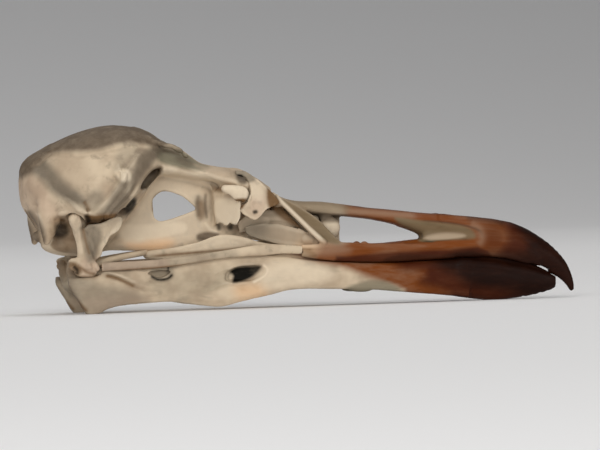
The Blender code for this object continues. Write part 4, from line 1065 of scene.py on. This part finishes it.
jawStrokes = [
    area("warm", 1.8, 0.45, 6, 99, 9.5, 235, 286, 262, 284, 268, 296, 240, 301),
    area("grey", 1.6, 0.6, 5, 99, 13.5, 72, 272, 100, 282, 135, 290, 150, 300, 110, 311, 80, 318, 50, 300),
    area("pink", 1.2, 0.4, 9, 99, 13.5, 84, 300, 120, 296, 150, 298, 130, 306, 96, 311),
    area("green", 1.8, 0.22, 6, 99, 10.5, 150, 276, 190, 268, 226, 268, 214, 290, 180, 296, 150, 290),
    area("green", 0.8, 0.35, 6, 99, 10, 206, 291, 216, 276, 228, 267, 232, 276, 226, 286),
    area("amber", 1.1, 0.95, 0, 99, 4.5, 302, 246, 312, 261, 338, 266, 364, 276, 382, 282, 404, 290, 424,
        310, 640, 310, 640, 240),
    area("green", 0.5, 0.75, 0, 99, 4.4, 342, 290, 358, 283, 372, 280, 386, 282, 398, 288, 404, 298, 346,
        296),
    area("rust", 1.8, 0.95, 0, 99, 4, 392, 240, 398, 268, 424, 272, 420, 284, 450, 294, 470, 320, 640, 310,
        640, 240),
    area("amber", 0.8, 0.8, 0, 99, 4.5, 365, 264, 385, 264, 400, 268, 396, 276, 378, 276),
    area("black", 2, 0.97, 0, 99, 3, 425, 240, 432, 262, 455, 276, 470, 286, 500, 291, 540, 298, 640, 300,
        640, 240),
    # painted shadow on the floor of the jaw window, which is closed on the inside
    area("shadowBlack", 0.5, 1, 7, 99, 9.6, 230, 271, 238, 267, 250, 266, 262, 266, 257, 274, 247, 280, 233, 283,
        234, 276),
    area("pale", 1.4, 0.5, 3, 99, 8, 264, 266, 300, 262, 330, 270, 330, 280, 290, 288, 262, 290),
    # painted shadow, a crescent under the small window's rim
    line("shadowBlack", 0.4, 1, 10, 99, 12, 150, 275, 158, 279, 168, 278.5, 174, 273),
    area("grey", 0.5, 0.6, 9, 99, 11.5, 151, 267, 171, 266, 172, 274, 156, 276),
    # painted shadow in the small tick at the window's end
    line("shadowBlack", 0.25, 0.9, 10, 99, 12, 169, 264, 168.5, 271),
    line("pale", 0.35, 0.8, 8, 99, 9.6, 262, 264, 268, 269, 265, 276, 252, 283),
    line("brown", 0.45, 0.8, 11, 99, 13, 105, 275, 115, 277, 125, 281, 137, 287),
    line("brown", 0.4, 0.8, 9, 99, 13.5, 70, 284, 74, 294, 82, 304, 90, 312),
    area("umber", 0.5, 0.9, 2, 99, 5, 350, 289, 370, 289, 368, 293, 352, 293),
    area("brown", 0.9, 0.5, 6, 99, 13, 62, 264, 84, 259, 104, 266, 96, 276, 66, 274),
    line("dark", 0.7, 0.5, 9, 99, 13, 84, 270, 100, 272, 118, 270, 136, 268),
    area("grey", 1.8, 0.15, 6, 99, 11, 160, 284, 200, 276, 214, 292, 190, 304, 160, 300),
    area("dark", 0.8, 0.5, 6, 99, 12, 60, 258, 74, 256, 78, 272, 72, 284, 62, 280),
]
jawMaterial = makeSurface("stainedJaw", jawLook)
addBone(shapeJaw(), jawStrokes, jawShape, jawMaterial, ["mandible"])
print("lower jaw shaped")

# Quadrates

quadrateShape = {"step": 0.2, "Lumps": 0.4, "Lump Size": 1.8, "Grain": 0.07, "Grain Size": 0.8, "Seed": 31.0}


def shapeQuadrate():
    clay = Clay((8.6, 6.0, 7.6), (23.6, 15.2, 24.0), quadrateShape["step"])
    clay.limb([(11, 12.3, 21.4, 1.3, 1.35), (11.9, 12.2, 18.6, 1.2, 1.25), (12.9, 12.1, 15.2, 1.2, 1.35),
        (13.6, 12, 11.8, 1.7, 1.9)], blend=0.1)
    clay.ball((13.4, 12.9, 10.3), (3.2, 1.6, 1.85), blend=1.3)
    clay.ball((10.9, 12.3, 11.4), (1.4, 1.2, 1.3), blend=1)
    clay.ball((13.8, 8.6, 10.2), (1.7, 1.8, 1.35), blend=0.7)
    clay.limb([(13.6, 12.4, 11.2, 1.5, 1.2), (13.8, 8.6, 10.8, 1.2, 1)], blend=0.7)
    clay.slab([(13.2, 19.2), (17, 20.4), (20.2, 21.7), (21.8, 21.8), (22.1, 20.7), (21.3, 18.9),
        (19.5, 17.6), (18.6, 16.2), (17.5, 14.4), (16.8, 12.9), (13.6, 11.8)], 12, 0.5, -0.42, 0.7, soft=3)
    clay.groove(0.45, 0.4, 11, 12.4, 82, 224, 85, 240, 88, 256)
    clay.groove(0.6, 0.25, 8, 10.5, 95, 250, 106, 240, 116, 226)
    clay.groove(0.5, 0.3, 12, 13, 78, 268, 86, 271, 96, 269)
    clay.groove(0.45, 0.4, 11, 13, 70, 262, 76, 268, 74, 275)
    clay.groove(0.45, 0.35, 11, 13, 92, 262, 97, 270, 104, 274)
    clay.groove(0.5, -0.25, 10, 11, 84, 230, 92, 240, 96, 252)
    return clay


quadrateStrokes = [
    area("grey", 0.8, 0.75, 6, 99, 12, 83, 224, 92, 224, 104, 232, 98, 256, 88, 262, 85, 242),
    line("brown", 0.35, 0.7, 8, 99, 12, 84, 226, 87, 242, 91, 256),
    area("brown", 0.5, 0.8, 8, 99, 13, 70, 262, 78, 262, 84, 270, 78, 276, 70, 272),
    line("pale", 0.5, 0.5, 6, 99, 8, 122, 219, 114, 232, 106, 246, 104, 258),
    # painted shadow in the crease low on the quadrate
    line("shadowBlack", 0.45, 0.8, 8, 99, 12, 74, 266, 78, 270, 77, 274),
    line("brown", 0.5, 0.6, 8, 99, 12, 104, 262, 112, 268, 114, 276),
    area("pink", 0.8, 0.3, 8, 99, 12, 84, 258, 104, 262, 106, 278, 80, 280),
    line("brown", 0.4, 0.7, 8, 99, 12.6, 70, 262, 80, 266, 88, 272, 98, 274),
]
addBone(shapeQuadrate(), quadrateStrokes, quadrateShape, boneMaterial,
        ["quadrate_left", "quadrate_right"])

# Lacrimals

lacrimalShape = {"step": 0.2, "Lumps": 0.18, "Lump Size": 2.2, "Grain": 0.07, "Grain Size": 0.8, "Seed": 41.0}


def shapeLacrimal():
    clay = Clay((43.0, 6.4, 17.6), (58.4, 12.0, 32.4), lacrimalShape["step"])
    clay.slab(trace(9.2, 236, 169.5, 244, 171, 252, 175.5, 260, 181.5, 268, 188.5, 275, 195, 280, 203, 272,
        207, 266, 210, 261, 216, 255, 220, 248, 217, 242, 213, 240, 208, 246, 202, 249.5, 194, 248, 186,
        244, 178, 236, 175), 9.8, 0.65, -0.22, 0.1, soft=3)
    clay.limb([(44.9, 9.7, 28, 0.9, 0.9), (46.4, 9.9, 27.7, 0.95, 1.2), (48.2, 10, 26.9, 1, 1.8),
        (49.2, 9.8, 26.5, 0.9, 1.6)], blend=0.4)
    for column, row, size in ((240, 180, 1.0), (240, 204, 0.9), (240, 220, 0.6)):
        x, z = photoPoint(column, row, 10)
        clay.ball((x, 10.6, z), (size, 1.3, size), blend=0.3, cut=True)
    clay.crease(trace(9.9, 245, 178, 248.5, 185, 249.5, 194, 246, 202), 0.32, 0.5, inner=9, fade=0)
    return clay


lacrimalStrokes = [
    area("grey", 0.5, 0.8, 6, 99, 9.8, 234, 168, 246, 170, 256, 178, 250, 183, 236, 180),
    area("pink", 0.8, 0.35, 6, 99, 9.8, 250, 200, 266, 196, 262, 216, 252, 216),
    # the knob's cream top, made brighter as a painted highlight
    area("pale", 0.3, 0.6, 8, 99, 9.8, 222, 187, 240, 185, 248, 188, 247, 197, 238, 199, 226, 193),
    # painted shade of the wedge under the nasal bar
    area("brown", 0.5, 1, 6, 99, 8.6, 268, 186, 276, 192, 284, 204, 270, 209, 267, 198),
    area("pale", 0.9, 0.4, 6, 99, 9.8, 252, 184, 264, 188, 264, 202, 253, 198),
    # painted shadow in the pit above the knob
    area("shadowBlack", 0.3, 1.2, 6, 99, 9.8, 235, 176, 242, 175, 247, 184, 238, 184),
    # painted shadow along the knob's curved edge
    line("shadowBlack", 0.2, 0.9, 6, 99, 9.8, 245, 178, 248.5, 185, 249.5, 194, 246, 202),
    # painted shadow under the knob
    area("brown", 0.4, 1, 6, 99, 9.8, 234, 200, 246, 199, 243, 208, 236, 209),
    # painted shadow in a small hole
    area("shadowBlack", 0.3, 0.9, 6, 99, 9.8, 253, 211, 257, 210, 258, 213, 254, 214),
]
addBone(shapeLacrimal(), lacrimalStrokes, lacrimalShape, boneMaterial,
        ["lacrimal_left", "lacrimal_right"])

# Palatines, jugal bars, pterygoids and vomer

palatineShape = {"step": 0.2, "Lumps": 0.12, "Lump Size": 2.6, "Grain": 0.05, "Grain Size": 0.8, "Seed": 53.0}


def shapePalatine():
    clay = Clay((27.4, 1.2, 12.0), (67.4, 6.4, 18.8), palatineShape["step"])
    clay.limb([(29, 2.7, 13.4, 0.9, 0.95), (34.6, 3.6, 13.7, 0.6, 1.35), (40, 4.4, 14.8, 0.5, 1.5),
        (44.4, 4.9, 15.8, 0.5, 2), (48.6, 4.9, 16.1, 0.5, 1.5), (53.4, 4.6, 15.4, 0.6, 0.8),
        (59, 4.3, 14.9, 0.8, 0.6), (65.4, 4.2, 14.6, 1, 0.5)], blend=0.1)
    clay.groove(0.5, 0.2, 4, 5, 180, 252, 205, 245, 225, 240, 245, 244)
    return clay


palatineStrokes = [
    # painted shade along its lower edge, over the gap below it
    line("brown", 0.35, 0.8, 0, 99, 4.8, 146, 257, 190, 253, 235, 249, 276, 245),
    area("pale", 0.6, 0.4, 0, 99, 4.8, 170, 247, 210, 236, 250, 238, 240, 247, 190, 252),
]
addBone(shapePalatine(), palatineStrokes, palatineShape, boneMaterial,
        ["palatine_left", "palatine_right"])

rodShape = {"perSpan": 14, "Flatness": 0.6, "Sides": 22, "Lumps": 0.10, "Lump Size": 2.6, "Grain": 0.04,
            "Grain Size": 0.8, "Seed": 61.0}
jugal = [(16.95, 13.4, 10.7, 0.95), (22, 13.65, 11, 0.97), (27.5, 13.4, 11.25, 1), (33.2, 12.85, 11.8, 0.95),
    (39.2, 11.95, 12.7, 0.82), (46.1, 11, 13.7, 0.92), (52.8, 9.95, 14.4, 1.25), (57.5, 8.9, 14.65, 1.05),
    (62.3, 7.2, 14.45, 0.9)]
pterygoid = [(15.6, 8.4, 11.3, 0.8), (19, 7.2, 12.2, 0.68), (23.5, 4.9, 13.1, 0.66), (28.2, 2.5, 13.9, 0.62)]
vomer = [(46.6, 0, 15.7, 0.38), (54, 0, 15.8, 0.62), (64, 0, 15.3, 0.45)]
jugalStrokes = [
    # painted shade along its lower edge, over the gap below it
    line("brown", 0.3, 0.8, 0, 99, 11.5, 110, 271, 175, 266, 232, 259, 288, 255.5),
    area("grey", 1, 0.4, 0, 99, 12.5, 90, 262, 160, 258, 200, 252, 230, 248, 230, 262, 90, 276),
    area("pink", 1, 0.5, 0, 99, 13, 96, 262, 160, 258, 160, 270, 96, 274),
]
addRod(jugal, jugalStrokes, rodShape, boneMaterial, ["jugal_bar_left", "jugal_bar_right"])
addRod(pterygoid, [], {**rodShape, "Flatness": 1.0}, boneMaterial,
       ["pterygoid_left", "pterygoid_right"])
addRod(vomer, [], {**rodShape, "Flatness": 0.7}, boneMaterial, ["vomer"])
print("small bones made")

# Floor, light and camera

sceneLook = {
    "floor": tone(0.95, 0.95, 0.955),
    "sky": tone(0.86, 0.86, 0.86),
    "skyStrength": 0.27,
    "keyPower": 20.5,
    "fillPower": 5.8,
    "topPower": 1.8,
    "backPower": 2.0,
    "wallPower": 6.0,
    "front": -2.6,
    "halfWidth": 3.0,
    "bendSteps": 32,
    "bendStart": 2.5,
    "bendRadius": 4.0,
    "distance": 1.4,
}


def makeStage():
    # a floor that turns up into a wall far behind
    far, bend = sceneLook["bendStart"], sceneLook["bendRadius"]
    profile = [(sceneLook["front"], 0.0), (far, 0.0)]
    for step in range(1, sceneLook["bendSteps"] + 1):
        angle = math.pi / 2 * step / sceneLook["bendSteps"]
        profile.append((far + bend * math.sin(angle), bend * (1 - math.cos(angle))))
    profile.append((far + bend, bend + 1.0))
    columns = (-sceneLook["halfWidth"], sceneLook["halfWidth"])
    points = [(x, y, z) for y, z in profile for x in columns]
    faces = [(2 * i, 2 * i + 1, 2 * i + 3, 2 * i + 2) for i in range(len(profile) - 1)]
    mesh = bpy.data.meshes.new("studioFloor")
    mesh.from_pydata(points, [], faces)
    mesh.shade_smooth()
    floor = bpy.data.objects.new("studioFloor", mesh)
    bpy.context.scene.collection.objects.link(floor)
    material, tree, shader, start = startMaterial("studioFloor")
    shader.inputs["Base Color"].default_value = (*sceneLook["floor"], 1.0)
    shader.inputs["Roughness"].default_value = 0.9
    shader.inputs["Specular IOR Level"].default_value = 0.1
    mesh.materials.append(material)


def makeCamera():
    c, s = math.cos(tilt), math.sin(tilt)
    turn = Matrix(((c, 0, s), (0, 1, 0), (-s, 0, c)))
    right = Vector((math.cos(yaw), -math.sin(yaw), 0))
    forward = Vector((math.sin(yaw), math.cos(yaw), 0))
    up = Vector((0, 0, 1))
    pixel = photo["pixel"] * mm
    middle = (right * ((photo["centre"][0] - photo["backColumn"]) * pixel)
              + up * ((photo["floorRow"] - photo["centre"][1]) * pixel))
    eye = middle - forward * sceneLook["distance"]
    basis = Matrix([turn @ right, turn @ up, turn @ -forward]).transposed().to_4x4()
    basis.translation = turn @ eye + Vector((-rest["back"], 0, rest["lift"])) * mm
    data = bpy.data.cameras.new("photoCamera")
    data.sensor_width = 36.0
    data.lens = data.sensor_width * sceneLook["distance"] / (photo["width"] * pixel)
    data.clip_start, data.clip_end = 0.05, 20.0
    camera = bpy.data.objects.new("photoCamera", data)
    bpy.context.scene.collection.objects.link(camera)
    camera.matrix_world = basis
    bpy.context.scene.camera = camera


def addLight(name, place, aimed, size, power, spread=180, colour=(1.0, 0.985, 0.96)):
    data = bpy.data.lights.new(name, "AREA")
    data.spread = math.radians(spread)
    data.energy = power
    data.size = size
    data.color = colour
    lamp = bpy.data.objects.new(name, data)
    bpy.context.scene.collection.objects.link(lamp)
    lamp.location = place
    aim = Vector(aimed) - Vector(place)
    lamp.rotation_euler = aim.to_track_quat("-Z", "Y").to_euler()


makeStage()
makeCamera()
addLight("keyLight", (-0.6, -1.7, 0.8), (0, 0, 0.02), 1.2, sceneLook["keyPower"])
addLight("fillLight", (1.2, -1.4, 0.35), (0, 0, 0.02), 1.0, sceneLook["fillPower"])
addLight("topLight", (0.0, -0.1, 0.85), (0, -0.1, 0), 0.6, sceneLook["topPower"])
addLight("backLight", (0.0, 0.9, 1.3), (0.0, 0.9, 0.0), 1.0, sceneLook["backPower"], 110)
addLight("wallLight", (0.0, 2.2, 1.9), (0.0, 2.4, 0.0), 1.2, sceneLook["wallPower"], 120)
world = bpy.data.worlds.new("studio")
bpy.context.scene.world = world
world.use_nodes = True
sky = world.node_tree.nodes["Background"]
sky.inputs["Color"].default_value = (*sceneLook["sky"], 1.0)
sky.inputs["Strength"].default_value = sceneLook["skyStrength"]
bpy.context.scene.view_settings.view_transform = "Standard"
print("stage, light and camera set")
